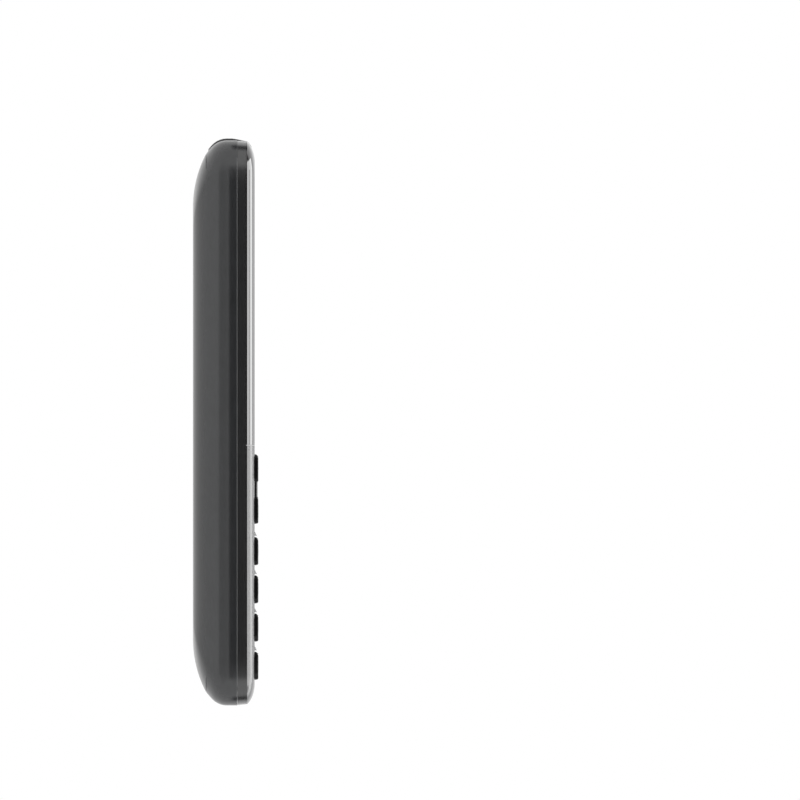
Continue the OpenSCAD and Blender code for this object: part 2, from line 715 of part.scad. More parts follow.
// Film with its dome contacts and the two posts that the rocker tilts on
module dome_sheet() {
    color([0.75, 0.75, 0.72]) union() {
        difference() {
            slab(pad_hx + key_flange, (pad_y1 - pad_y0)/2 + key_flange, 1, board_z1, board_z1 + film_t,
                0, (pad_y0 + pad_y1)/2, 3);
            for (p = screw_xy) translate([p[0], p[1], 0]) cylinder(r = post_r, h = body_t);
            jack_room(0, body_t);
        }
        for (p = dome_xy) translate([p[0], p[1], board_z1])
            cylinder(r1 = dome_r, r2 = dome_r/2, h = film_t + dome_h);
        for (p = nav_xy) translate([p[0], p[1] + nav_y, board_z1])
            cylinder(r1 = dome_r*0.8, r2 = dome_r*0.5, h = film_t + dome_h);
        for (s = [-1, 1]) translate([0, nav_y + s*(ok_hole/2 + 0.1), board_z1])
            cylinder(r = 0.6, h = rocker_z0 - pivot_r - seat - board_z1);
    }
}

// Sheet under the keys, standing on a rim
module keypad_mat() {
    hx = pad_hx + key_flange;
    hy = (pad_y1 - pad_y0)/2 + key_flange;
    y = (pad_y0 + pad_y1)/2;
    color([0.18, 0.18, 0.19]) difference() {
        slab(hx, hy, 1, board_z1 + film_t, mat_z1, 0, y, 3);
        slab(hx - 1, hy - 1, 0.6, 0, mat_z0, 0, y, 2);
        for (p = dome_xy) translate([p[0], p[1], 0]) cylinder(r = plunger_r + 0.5, h = body_t);
        for (p = screw_xy) translate([p[0], p[1], 0]) cylinder(r = post_r, h = body_t);
        slab(nav_w/2 + key_flange + fit, nav_l/2 + key_flange + fit, 2, 0, body_t, 0, nav_y, 3);
        jack_room(0, jack_z1 + fit);
    }
}

// One key, with its upper and lower edge sloped, its flange and its plunger
module key_cap(x, y) {
    z1 = body_t + key_proud;
    z2 = body_t + key_lead_z;
    color([0.06, 0.06, 0.06]) translate([x, y, 0]) union() {
        intersection() {
            slab(key_w/2, key_l/2, key_r, flange_z0, z1);
            translate([-key_w, 0, 0]) rotate([90, 0, 90]) linear_extrude(2*key_w)
                polygon([[-key_l/2 - 1, 0], [key_l/2 + 1, 0], [key_l/2 + 1, z2], [key_l/2, z2],
                    [key_l/2 - key_lead, z1], [key_lead - key_l/2, z1], [-key_l/2, z2], [-key_l/2 - 1, z2]]);
        }
        slab(key_w/2 + key_flange, key_l/2 + key_flange, key_r, flange_z0, flange_z1);
        translate([0, 0, plunger_z0]) cylinder(r = plunger_r, h = flange_z0 - plunger_z0 + eps);
    }
}

module key_1() { key_cap(-pitch_x, row_y[3]); }
module key_2() { key_cap(0, row_y[3]); }
module key_3() { key_cap(pitch_x, row_y[3]); }
module key_4() { key_cap(-pitch_x, row_y[2]); }
module key_5() { key_cap(0, row_y[2]); }
module key_6() { key_cap(pitch_x, row_y[2]); }
module key_7() { key_cap(-pitch_x, row_y[1]); }
module key_8() { key_cap(0, row_y[1]); }
module key_9() { key_cap(pitch_x, row_y[1]); }
module key_star() { key_cap(-pitch_x, row_y[0]); }
module key_0() { key_cap(0, row_y[0]); }
module key_hash() { key_cap(pitch_x, row_y[0]); }
module soft_key_left() { key_cap(-pitch_x, soft_y); }
module soft_key_right() { key_cap(pitch_x, soft_y); }
module call_key() { key_cap(-pitch_x, call_y); }
module end_key() { key_cap(pitch_x, call_y); }

// Rocker that tilts to the left and right on two round pivots
module nav_rocker() {
    color([0.2, 0.2, 0.21]) translate([0, nav_y, 0]) union() {
        difference() {
            slab(rocker_hx, rocker_hy, 3, rocker_z0, rocker_z1);
            translate([0, 0, rocker_z0 - 1]) cylinder(r = plunger_r + 0.4, h = 3);
        }
        for (s = [-1, 1]) translate([0, s*(ok_hole/2 + 0.1), 0]) rod(0, rocker_z0, pivot_r, -0.9, 0.9);
        for (i = [1:4]) translate([nav_xy[i][0], nav_xy[i][1], plunger_z0])
            cylinder(r = 0.8, h = rocker_z0 - plunger_z0 + eps);
    }
}

// Ring that tilts up and down on two round pivots, over the rocker
module nav_ring() {
    color([0.07, 0.07, 0.075]) translate([0, nav_y, 0]) difference() {
        union() {
            slab(nav_w/2, nav_l/2, 4, nav_flange_z0, body_t + nav_proud);
            slab(nav_w/2 + key_flange, nav_l/2 + key_flange, 4, nav_flange_z0, nav_flange_z1);
            for (s = [-1, 1]) translate([s*(ok_hole/2 + 1.4), 0, nav_flange_z0]) rotate([0, 90, 0])
                cylinder(r = tilt_fit - seat, h = 1.6, center = true);
        }
        slab(ok_hole/2, ok_hole/2, 1.8, 0, body_t + 2, n = 4);
    }
}

module ok_key() {
    color([0.06, 0.06, 0.06]) translate([0, nav_y, 0]) union() {
        slab(ok_w/2, ok_w/2, 1.5, nav_flange_z0, body_t + nav_proud + 0.1);
        translate([0, 0, plunger_z0]) cylinder(r = plunger_r, h = nav_flange_z0 - plunger_z0 + eps);
    }
}

module earpiece() {
    color([0.3, 0.3, 0.32])
        slab(earpiece_size[0]/2, earpiece_size[1]/2, 0.6, lcd_z0, lcd_z0 + earpiece_size[2], 0, ear_y, 2);
}

module earpiece_mesh() {
    color([0.25, 0.25, 0.26])
        slab(ear_slot[0]/2 - 0.05, ear_slot[1]/2 - 0.05, 0.5, lens_z0, lens_z0 + 0.5, 0, ear_y, 4);
}

module torch_led() {
    color([0.85, 0.8, 0.35]) union() {
        rod(torch_x, torch_z, torch_lens_r - 0.4, torch_back_y - 0.4, torch_back_y + 1);
        box(torch_x - 2.4, torch_x + 2.4, torch_back_y - 1, torch_back_y - 0.4,
            torch_z - 2.6, torch_z - seat);
    }
}

// Lens with a shallow dome
module torch_lens() {
    r = torch_lens_r;
    s = (r*r + torch_proud*torch_proud)/(2*torch_proud);
    color([0.66, 0.65, 0.28]) intersection() {
        rod(torch_x, torch_z, r, torch_back_y + 1, top_y + torch_proud);
        translate([torch_x, top_y + torch_proud - s, torch_z]) rotate([90, 0, 0]) sphere(r = s);
    }
}

// Ring that follows the end of the body, with a raised lip and a dished face
module torch_bezel() {
    color([0.12, 0.12, 0.13]) difference() {
        intersection() {
            rod(torch_x, torch_z, torch_r, torch_back_y, top_y + 1);
            loft(concat(rear_rings(-torch_rise, cap_n, wall_n, 4), bevel_rings(-torch_rise, 4)));
        }
        rod(torch_x, torch_z, torch_lens_r + 0.05, torch_back_y - 1, top_y + 2);
        translate([torch_x, top_y + torch_rise + 0.1, torch_z]) rotate([90, 0, 0])
            cylinder(r1 = torch_r - torch_lip, r2 = torch_lens_r, h = 1.4);
    }
}

module loudspeaker() {
    color([0.2, 0.2, 0.2]) union() {
        slab(speaker[0]/2, speaker[1]/2, 1, speaker_z0, speaker_z0 + speaker[2], -speaker_x, speaker_y, 3);
        translate([-speaker_x, speaker_y, speaker_z0 - 0.4]) cylinder(r1 = 1.8, r2 = 2.6, h = 0.4 + eps);
        for (s = [-1, 1]) box(-speaker_x + s*3 - 0.6, -speaker_x + s*3 + 0.6, speaker_y - 1, speaker_y + 1,
            speaker_z0 + speaker[2] - eps, board_z0 - seat);
    }
}

module speaker_gasket() {
    color([0.07, 0.07, 0.07]) difference() {
        slab(speaker[0]/2, speaker[1]/2, 1, wall + 0.25, speaker_z0, -speaker_x, speaker_y, 3);
        slab(speaker[0]/2 - 1, speaker[1]/2 - 1, 0.6, 0, speaker_z0 + 1, -speaker_x, speaker_y, 2);
    }
}

module vibration_motor() {
    color([0.7, 0.71, 0.73]) union() {
        translate([motor_x, motor_y, motor_z]) rotate([0, 90, 0]) cylinder(r = motor_r, h = motor_l);
        box(motor_x + 1, motor_x + motor_l - 1, motor_y - 1.2, motor_y + 1.2, motor_z, board_z0 - seat);
        translate([motor_x + motor_l - eps, motor_y, motor_z]) rotate([0, 90, 0])
            cylinder(r = 0.4, h = 1 + weight_l);
    }
}

module vibrator_weight() {
    color([0.55, 0.52, 0.45]) translate([weight_x, motor_y, motor_z]) rotate([0, 90, 0]) difference() {
        union() {
            cylinder(r = 0.9, h = weight_l);
            intersection() {
                cylinder(r = motor_r, h = weight_l);
                translate([0, -motor_r - 1, 0]) cube([motor_r + 1, 2*motor_r + 2, weight_l]);
            }
        }
        translate([0, 0, -1]) cylinder(r = 0.45, h = weight_l + 2);
    }
}

module battery_cell() {
    color([0.62, 0.63, 0.65])
        slab(battery_w/2, (battery_l - battery_cap_l)/2, 0.8, battery_z0, battery_z1,
            0, battery_y0 + (battery_l - battery_cap_l)/2, 3);
}

module battery_cap() {
    color([0.1, 0.1, 0.1]) difference() {
        box(-battery_w/2, battery_w/2, battery_y1 - battery_cap_l, battery_y1, battery_z0, battery_z1);
        for (i = [-1:1]) box(i*2.8 - 0.7, i*2.8 + 0.7, battery_y1 - 0.5, battery_y1 + 1,
            battery_z0 + 1, battery_z1 - 0.6);
    }
}

// Connector on the board, with three blades that face the battery
module battery_connector() {
    color([0.82, 0.78, 0.6]) union() {
        box(-battery_plug[0]/2, battery_plug[0]/2, plug_back_y, plug_back_y + battery_plug[1],
            board_z0 - battery_plug[2], board_z0);
        for (i = [-1:1]) box(i*2.8 - 0.4, i*2.8 + 0.4, battery_y1 + 0.1, plug_back_y + eps,
            board_z0 - battery_plug[2] + 0.4, ceiling_z0 - 0.8);
    }
}

module socket(size, x, y) {
    color([0.75, 0.76, 0.78]) difference() {
        slab(size[0]/2, size[1]/2, 0.5, board_z0 - socket_t, board_z0, x, y, 2);
        slab(size[0]/2 - 0.4, size[1]/2 - 0.4, 0.4, board_z0 - socket_t + 0.2, board_z0 - 0.3, x, y - 0.8, 2);
        slab(size[0]/2 - 2.6, size[1]/2 - 3, 0.5, 0, board_z0 - 0.3, x, y, 2);
    }
}

module sim_socket_left() { socket(sim_size, -sim_x, sim_y); }
module sim_socket_right() { socket(sim_size, sim_x, sim_y); }
module card_socket() { socket(card_size, 0, card_y); }

module shield_can() {
    color([0.72, 0.73, 0.74]) difference() {
        slab(shield[0]/2, shield[1]/2, 0.6, board_z0 - shield[2], board_z0, shield_x, shield_y, 2);
        slab(shield[0]/2 - 0.2, shield[1]/2 - 0.2, 0.4, board_z0 - shield[2] + 0.2, board_z0 + 1,
            shield_x, shield_y, 2);
    }
}

// Antenna carrier under the board with a raised track
module antenna() {
    x = half_w - frame_inner - fit - 2.6 - antenna_size[0]/2;
    y = bot_y + antenna_in + antenna_size[1]/2;
    z = board_z0 - antenna_size[2];
    color([0.8, 0.55, 0.3]) union() {
        slab(antenna_size[0]/2, antenna_size[1]/2, 0.8, z, board_z0, x, y, 2);
        difference() {
            slab(antenna_size[0]/2 - 0.6, antenna_size[1]/2 - 0.6, 0.6, z - 0.2, z + eps, x, y, 2);
            slab(antenna_size[0]/2 - 2, antenna_size[1]/2 - 2, 0.4, z - 1, z + 1, x, y, 2);
        }
    }
}

module microphone() {
    color([0.78, 0.76, 0.7]) difference() {
        box(-mic_x - 1.2, 1.2 - mic_x, mic_y0 + 1.1, mic_y1 - 0.6,
            board_z1 - mic_boot_size[2] + 0.6, board_z1 - 0.4);
        rod(-mic_x, mic_z, 0.4, mic_y0, mic_y0 + 1.4);
    }
}

module mic_boot() {
    color([0.12, 0.12, 0.12]) difference() {
        box(-mic_x - mic_boot_size[0]/2, -mic_x + mic_boot_size[0]/2, mic_y0, mic_y1,
            board_z1 - mic_boot_size[2], board_z1);
        box(-mic_x - 1.2, 1.2 - mic_x, mic_y0 + 1.1, mic_y1 - 0.6,
            board_z1 - mic_boot_size[2] + 0.6, board_z1 - 0.4);
        rod(-mic_x, mic_z, mic_r, mic_y0 - 1, mic_y0 + 2);
    }
}

module audio_jack() {
    color([0.09, 0.09, 0.09]) difference() {
        box(-jack_x - jack[0]/2, -jack_x + jack[0]/2, jack_y0, jack_y1, jack_z0, jack_z1);
        rod(-jack_x, jack_z, jack_r, jack_y0 - 1, jack_y1 - 0.8);
    }
}

module usb_shell() {
    color([0.75, 0.75, 0.77]) difference() {
        run_y(-usb_x, usb_z, plug_y, plug_y + usb[1]) usb_profile(0);
        run_y(-usb_x, usb_z, plug_y - 1, plug_y + usb[1] - usb_sheet) usb_profile(-usb_sheet);
    }
}

module usb_tongue() {
    color([0.06, 0.06, 0.06]) box(-usb_x - usb[0]/2 + 1.4, -usb_x + usb[0]/2 - 1.4,
        plug_y + 0.8, plug_y + usb[1] - usb_sheet, usb_z - 0.1, usb_z + 0.5);
}

module screws() {
    color([0.6, 0.6, 0.62]) for (p = screw_xy) translate([p[0], p[1], 0]) difference() {
        union() {
            translate([0, 0, head_z1 - head_h]) cylinder(r = head_r, h = head_h);
            translate([0, 0, head_z1 - eps]) cylinder(r = screw_r - 0.05, h = screw_l + eps);
        }
        for (a = [0, 90]) rotate(a) translate([-0.8, -0.15, head_z1 - head_h - 1]) cube([1.6, 0.3, 1.4]);
    }
}

rear_cover();
speaker_mesh();
mid_frame();
front_housing();
display_lens();
display_gasket();
display_glass();
display_backlight();
display_flex();
main_board();
dome_sheet();
keypad_mat();
key_1();
key_2();
key_3();
key_4();
key_5();
key_6();
key_7();
key_8();
key_9();
key_star();
key_0();
key_hash();
soft_key_left();
soft_key_right();
call_key();
end_key();
nav_rocker();
nav_ring();
ok_key();
earpiece();
earpiece_mesh();
torch_led();
torch_lens();
torch_bezel();
loudspeaker();
speaker_gasket();
vibration_motor();
vibrator_weight();
battery_cell();
battery_cap();
battery_connector();
sim_socket_left();
sim_socket_right();
card_socket();
shield_can();
antenna();
microphone();
mic_boot();
audio_jack();
usb_shell();
usb_tongue();
screws();
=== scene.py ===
"""Looks of a bar-type feature phone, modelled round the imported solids."""

import json
import logging
import math
from dataclasses import dataclass
from enum import Enum
from typing import Callable, Dict, List, Optional, Sequence, Tuple

import bmesh
import bpy
from mathutils import Matrix, Vector

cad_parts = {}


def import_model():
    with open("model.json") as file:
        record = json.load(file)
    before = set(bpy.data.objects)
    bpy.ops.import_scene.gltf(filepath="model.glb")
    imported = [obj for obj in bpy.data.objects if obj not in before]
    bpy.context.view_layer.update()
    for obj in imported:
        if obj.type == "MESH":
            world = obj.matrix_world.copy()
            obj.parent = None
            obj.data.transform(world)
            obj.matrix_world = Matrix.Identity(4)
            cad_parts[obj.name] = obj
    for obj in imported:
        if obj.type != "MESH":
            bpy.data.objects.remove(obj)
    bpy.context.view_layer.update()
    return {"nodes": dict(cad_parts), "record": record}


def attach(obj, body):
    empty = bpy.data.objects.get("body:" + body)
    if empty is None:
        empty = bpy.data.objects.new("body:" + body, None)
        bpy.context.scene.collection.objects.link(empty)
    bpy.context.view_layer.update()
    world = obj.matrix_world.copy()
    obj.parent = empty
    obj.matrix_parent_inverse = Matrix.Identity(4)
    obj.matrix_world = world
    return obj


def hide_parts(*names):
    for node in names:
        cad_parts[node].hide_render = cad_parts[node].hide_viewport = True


LOG = logging.getLogger("phone")
# One millimetre, in metres.
MM = 0.001
# Distances in millimetres within which points are doubled, or two places are the same.
TINY = 0.0005
NEAR = 0.01
# Least part of a normal along an axis, for a level face and for one at the bottom end.
UPRIGHT = 0.99
FACING = 0.9
# Length of one band of a wave texture at a scale of 1, in metres.
WAVE_LENGTH = 0.314
# Span of a mask between two colours that meet at a hard edge.
HARD_EDGE = (0.45, 0.55)

Colour = Tuple[float, float, float]
Point = Tuple[float, float, float]


def metres(point: Sequence[float]) -> Point:
    """Gives a point in millimetres in metres."""
    return (point[0] * MM, point[1] * MM, point[2] * MM)


class Axis(Enum):
    """Direction in the frame, as the turn that lays a round piece along it."""

    X = (0.0, math.pi / 2, 0.0)
    Y = (math.pi / 2, 0.0, 0.0)
    Z = (0.0, 0.0, 0.0)


class Join(Enum):
    """What a second shape does to the first."""

    CUT = "DIFFERENCE"
    KEEP = "INTERSECT"
    ADD = "UNION"


class Pick(Enum):
    """What a selection is made of."""

    POINTS = "VERT"
    EDGES = "EDGE"
    FACES = "FACE"


class Corner(Enum):
    """Number of edges in each rounded corner of an outline."""

    MARK = 5
    SLOT = 6
    OPENING = 8
    KEY = 10
    RING = 12
    TORCH = 16
    BODY = 18


class Sides(Enum):
    """Number of sides of a round shape."""

    PIN = 24
    STEM = 40
    HOLE = 64
    LENS = 96
    BEZEL = 120


class Shading(Enum):
    """Angle between two faces, in degrees, up to which they are shaded as one."""

    SHELL = 28.0
    FITTING = 30.0
    ROUND = 32.0
    LENS = 40.0


@dataclass(frozen=True)
class Ring:
    """Level rounded rectangle, in millimetres."""

    half_x: float
    half_y: float
    radius: float
    z: float
    x: float = 0.0
    y: float = 0.0

    def inset(self, px: float, py: float) -> float:
        """Gives how far a point lies inside the outline.

        Args:
            px: Place of the point across the phone.
            py: Place of the point along the phone.

        Returns:
            The distance to the outline, negative outside it.
        """
        dx = abs(px - self.x) - (self.half_x - self.radius)
        dy = abs(py - self.y) - (self.half_y - self.radius)
        outside = math.hypot(max(dx, 0.0), max(dy, 0.0))
        return self.radius - outside - min(max(dx, dy), 0.0)


class Shape:
    """One mesh, shaped in edit mode by operators. Its sizes are in millimetres."""

    def __init__(self, obj: bpy.types.Object) -> None:
        """Takes up an object that is already a mesh."""
        self.obj = obj
        self.ring: Optional[Ring] = None

    @staticmethod
    def clear() -> None:
        """Leaves edit mode and deselects everything."""
        if bpy.context.object is not None and bpy.context.object.mode != "OBJECT":
            bpy.ops.object.mode_set(mode="OBJECT")
        bpy.ops.object.select_all(action="DESELECT")

    @classmethod
    def adopt(cls, name: str) -> "Shape":
        """Names the primitive just added and opens it for editing.

        Args:
            name: Name of the piece.

        Returns:
            The shape, in edit mode with all of it selected.
        """
        obj = bpy.context.object
        obj.name = name
        obj.data.name = name
        bpy.ops.object.transform_apply(location=True, rotation=True, scale=True)
        bpy.ops.object.mode_set(mode="EDIT")
        bpy.ops.mesh.select_all(action="SELECT")
        return cls(obj)

    @classmethod
    def plate(cls, name: str, ring: Ring, corner: Corner) -> "Shape":
        """Starts a shape as a flat rounded plate.

        Args:
            name: Name of the piece.
            ring: Outline of the plate.
            corner: Kind of corner that it has.

        Returns:
            The shape, in edit mode.
        """
        cls.clear()
        centre = metres((ring.x, ring.y, ring.z))
        bpy.ops.mesh.primitive_plane_add(size=1.0, location=centre)
        shape = cls.adopt(name)
        size = (2 * ring.half_x * MM, 2 * ring.half_y * MM, 1.0)
        bpy.ops.transform.resize(value=size, center_override=centre)
        if ring.radius > 0:
            bpy.ops.mesh.select_mode(type=Pick.POINTS.value)
            bpy.ops.mesh.select_all(action="SELECT")
            bpy.ops.mesh.bevel(offset=ring.radius * MM, segments=corner.value,
                               affect="VERTICES")
        shape.ring = ring
        return shape

    @classmethod
    def solid(cls, name: str, rings: Sequence[Ring], corner: Corner) -> "Shape":
        """Starts a closed shape that passes through rings, from one end to the other."""
        return cls.plate(name, rings[0], corner).loft(rings[1:]).outward()

    @classmethod
    def block(cls, name: str, low: Point, high: Point) -> "Shape":
        """Starts a shape as a block between two corners.

        Args:
            name: Name of the piece.
            low: Corner with the least of each coordinate.
            high: Corner across from it.

        Returns:
            The shape, in edit mode.
        """
        cls.clear()
        centre = metres([(a + b) / 2 for a, b in zip(low, high)])
        bpy.ops.mesh.primitive_cube_add(size=1.0, location=centre)
        shape = cls.adopt(name)
        size = metres([b - a for a, b in zip(low, high)])
        bpy.ops.transform.resize(value=size, center_override=centre)
        return shape

    @classmethod
    def drum(cls, name: str, centre: Point, radius: float, depth: float, axis: Axis,
             sides: Sides) -> "Shape":
        """Starts a shape as a round drum.

        Args:
            name: Name of the piece.
            centre: Middle of the drum.
            radius: Radius of the drum.
            depth: Length along its axis.
            axis: Direction of that axis.
            sides: Number of sides.

        Returns:
            The shape, in edit mode.
        """
        cls.clear()
        bpy.ops.mesh.primitive_cylinder_add(
            vertices=sides.value, radius=radius * MM, depth=depth * MM, location=metres(centre),
            rotation=axis.value)
        return cls.adopt(name)

    @classmethod
    def lathe(cls, name: str, centre: Point, profile: Sequence[Tuple[float, float]],
              sides: Sides) -> "Shape":
        """Spins a profile round an axis that runs along the phone.

        Args:
            name: Name of the piece.
            centre: Point on the axis.
            profile: Radius and place along the phone of each point.
            sides: Number of steps in the turn.

        Returns:
            The closed shape, in edit mode.
        """
        cls.clear()
        at = [(centre[0] + r, y, centre[2]) for r, y in profile]
        bpy.ops.mesh.primitive_plane_add(size=MM, location=metres(at[0]))
        shape = cls.adopt(name)
        bpy.ops.mesh.merge(type="CENTER")
        for start, end in zip(at, at[1:]):
            step = metres([b - a for a, b in zip(start, end)])
            bpy.ops.mesh.extrude_vertices_move(TRANSFORM_OT_translate={"value": step})
        bpy.ops.mesh.select_all(action="SELECT")
        bpy.ops.mesh.spin(steps=sides.value, angle=2 * math.pi, center=metres(centre),
                          axis=(0.0, 1.0, 0.0))
        return shape.outward()

    def _mode(self, kind: Pick) -> bmesh.types.BMesh:
        """Sets what is picked, deselects all and gives the edit mesh.

        Args:
            kind: What the next selection is made of.

        Returns:
            The edit mesh.
        """
        bpy.ops.mesh.select_mode(type=kind.value)
        bpy.ops.mesh.select_all(action="DESELECT")
        return bmesh.from_edit_mesh(self.obj.data)

    def _flush(self, mesh: bmesh.types.BMesh) -> "Shape":
        """Passes a new selection on to the operators.

        Args:
            mesh: Edit mesh that was picked on.

        Returns:
            The shape itself.
        """
        mesh.select_flush_mode()
        bmesh.update_edit_mesh(self.obj.data)
        return self

    def pick_verts(self, test: Callable[[Vector], bool]) -> "Shape":
        """Selects the points whose place passes a test.

        Args:
            test: Says of a point's place whether it is picked.

        Returns:
            The shape itself.
        """
        mesh = self._mode(Pick.POINTS)
        for vert in mesh.verts:
            if test(vert.co / MM):
                vert.select_set(True)
        return self._flush(mesh)

    def pick_edges(self, test: Callable[[Vector, Vector], bool]) -> "Shape":
        """Selects the edges whose two ends pass a test.

        Args:
            test: Says of the places of both ends whether the edge is picked.

        Returns:
            The shape itself.
        """
        mesh = self._mode(Pick.EDGES)
        for edge in mesh.edges:
            if test(edge.verts[0].co / MM, edge.verts[1].co / MM):
                edge.select_set(True)
        return self._flush(mesh)

    def pick_faces(self, test: Callable[[Vector, Vector], bool]) -> "Shape":
        """Selects the faces whose centre and normal pass a test.

        Args:
            test: Says of a face's centre and normal whether it is picked.

        Returns:
            The shape itself.
        """
        mesh = self._mode(Pick.FACES)
        for face in mesh.faces:
            if test(face.calc_center_median() / MM, face.normal):
                face.select_set(True)
        return self._flush(mesh)

    def pick_outer_end(self) -> "Shape":
        """Selects the faces that look out of the bottom end."""
        return self.pick_faces(lambda c, n: n.y < -FACING)

    def loft(self, rings: Sequence[Ring]) -> "Shape":
        """Extrudes the end plate through further rings, each corner fitted to its radius.

        Args:
            rings: Outlines to pass through, in order.

        Returns:
            The shape itself.
        """
        for ring in rings:
            last = self.ring
            mesh = self._mode(Pick.FACES)
            level = [f for f in mesh.faces
                     if abs(f.calc_center_median().z / MM - last.z) < TINY]
            cap = max(level, key=lambda f: (len(f.verts), f.index))
            cap.select_set(True)
            self._flush(mesh)
            lift = (0.0, 0.0, (ring.z - last.z) * MM)
            bpy.ops.mesh.extrude_region_move(TRANSFORM_OT_translate={"value": lift})
            mesh = bmesh.from_edit_mesh(self.obj.data)
            moved = {v.index for v in mesh.verts if v.select}
            for sx in (-1, 1):
                for sy in (-1, 1):
                    self._fit_corner(moved, last, ring, sx, sy)
            self.ring = ring
        return self

    def _fit_corner(self, moved: set, last: Ring, ring: Ring, sx: int, sy: int) -> None:
        """Takes one corner of the moved points from the last ring to the next.

        Args:
            moved: Numbers of the points just extruded.
            last: Outline that they come from.
            ring: Outline that they go to.
            sx: Side of the corner across the phone, 1 or -1.
            sy: Side of the corner along the phone, 1 or -1.
        """
        mesh = self._mode(Pick.POINTS)
        for vert in mesh.verts:
            across, along = (vert.co.x / MM - last.x) * sx, (vert.co.y / MM - last.y) * sy
            if vert.index in moved and across > 0 and along > 0:
                vert.select_set(True)
        self._flush(mesh)
        old, new = ((r.x + sx * (r.half_x - r.radius), r.y + sy * (r.half_y - r.radius), ring.z)
                    for r in (last, ring))
        if abs(ring.radius - last.radius) > TINY:
            scale = ring.radius / last.radius
            bpy.ops.transform.resize(value=(scale, scale, 1.0), center_override=metres(old))
        bpy.ops.transform.translate(value=metres([b - a for a, b in zip(old, new)]))

    def extrude(self, step: Point) -> "Shape":
        """Extrudes what is selected by a step."""
        bpy.ops.mesh.extrude_region_move(TRANSFORM_OT_translate={"value": metres(step)})
        return self

    def move(self, step: Point) -> "Shape":
        """Moves what is selected by a step."""
        bpy.ops.transform.translate(value=metres(step))
        return self

    def resize(self, scale: Point, centre: Point) -> "Shape":
        """Scales what is selected about a point."""
        bpy.ops.transform.resize(value=scale, center_override=metres(centre))
        return self

    def inset(self, width: float, each: bool = False) -> "Shape":
        """Insets the selected faces, together or one by one."""
        bpy.ops.mesh.inset(thickness=width * MM, depth=0.0, use_individual=each)
        return self

    def bevel(self, width: float, steps: int) -> "Shape":
        """Rounds the selected edges."""
        bpy.ops.mesh.bevel(offset=width * MM, segments=steps, affect="EDGES")
        return self

    def cut_upper_edges(self, x: float, z: float, half: float, width: float) -> "Shape":
        """Cuts off the two upper edges of a block that runs along the phone.

        Args:
            x: Middle of the block across the phone.
            z: Its middle height.
            half: Half its width.
            width: Width of the cut.

        Returns:
            The shape itself.
        """
        self.pick_edges(lambda a, b: abs(a.y - b.y) > 1.0 and all(
            p.z > z and abs(p.x - x) > half - 0.1 for p in (a, b)))
        return self.bevel(width, 1)

    def erase_faces(self) -> "Shape":
        """Deletes the selected faces."""
        bpy.ops.mesh.delete(type="FACE")
        return self

    def sharpen(self) -> "Shape":
        """Marks the selected edges as sharp."""
        bpy.ops.mesh.mark_sharp()
        return self

    def slice(self, point: Point, normal: Point) -> "Shape":
        """Cuts off all that lies behind a plane and closes the cut.

        Args:
            point: A point on the plane.
            normal: Direction of the side that stays.

        Returns:
            The shape itself.
        """
        bpy.ops.mesh.select_all(action="SELECT")
        bpy.ops.mesh.bisect(plane_co=metres(point), plane_no=normal, use_fill=True,
                            clear_inner=True)
        return self

    def outward(self) -> "Shape":
        """Merges doubled points and turns all faces outwards.

        Returns:
            The shape itself.
        """
        bpy.ops.mesh.select_all(action="SELECT")
        bpy.ops.mesh.remove_doubles(threshold=TINY * MM)
        bpy.ops.mesh.normals_make_consistent(inside=False)
        return self

    def _alone(self) -> None:
        """Leaves edit mode with only this shape selected."""
        self.clear()
        self.obj.select_set(True)
        bpy.context.view_layer.objects.active = self.obj

    def edit(self) -> "Shape":
        """Opens the shape for editing again.

        Returns:
            The shape, in edit mode.
        """
        self._alone()
        bpy.ops.object.mode_set(mode="EDIT")
        return self

    def modify(self, kind: str, **settings: object) -> "Shape":
        """Adds a modifier with its settings and applies it.

        Args:
            kind: Type of the modifier.
            settings: Its properties.

        Returns:
            The shape itself.
        """
        self._alone()
        bpy.ops.object.modifier_add(type=kind)
        modifier = self.obj.modifiers[-1]
        for key, value in settings.items():
            setattr(modifier, key, value)
        bpy.ops.object.modifier_apply(modifier=modifier.name)
        return self

    def thicken(self, wall: float) -> "Shape":
        """Gives an open skin a wall on its inner side."""
        return self.modify("SOLIDIFY", thickness=wall * MM, offset=-1.0, use_even_offset=True,
                           use_rim=True)

    def soften(self, width: float, steps: int = 2, degrees: float = 40.0) -> "Shape":
        """Rounds every edge that is sharper than an angle."""
        return self.modify("BEVEL", width=width * MM, segments=steps, limit_method="ANGLE",
                           angle_limit=math.radians(degrees), use_clamp_overlap=True)

    def combine(self, other: "Shape", how: Join = Join.CUT) -> "Shape":
        """Cuts, keeps or adds another shape, which is used up.

        Args:
            other: The second shape.
            how: What it does to this one.

        Returns:
            The shape itself.
        """
        self.modify("BOOLEAN", object=other.obj, operation=how.value, solver="EXACT")
        other.remove()
        return self

    def remove(self) -> None:
        """Deletes a shape that has done its work."""
        bpy.data.objects.remove(self.obj, do_unlink=True)

    def take_in(self, others: Sequence["Shape"]) -> "Shape":
        """Joins other shapes into this one's mesh.

        Args:
            others: Shapes that are used up.

        Returns:
            The shape itself.
        """
        self.clear()
        for other in others:
            other.obj.select_set(True)
        self.obj.select_set(True)
        bpy.context.view_layer.objects.active = self.obj
        bpy.ops.object.join()
        return self

    def copy(self, name: str, step: Point) -> "Shape":
        """Copies the shape, with a mesh of its own, and moves the copy.

        Args:
            name: Name of the copy.
            step: How far the copy is moved.

        Returns:
            The copy.
        """
        self._alone()
        bpy.ops.object.duplicate(linked=False)
        twin = Shape(bpy.context.object)
        twin.obj.name = name
        twin.obj.data.name = name
        twin.obj.location = metres(step)
        bpy.ops.object.transform_apply(location=True, rotation=True, scale=True)
        return twin

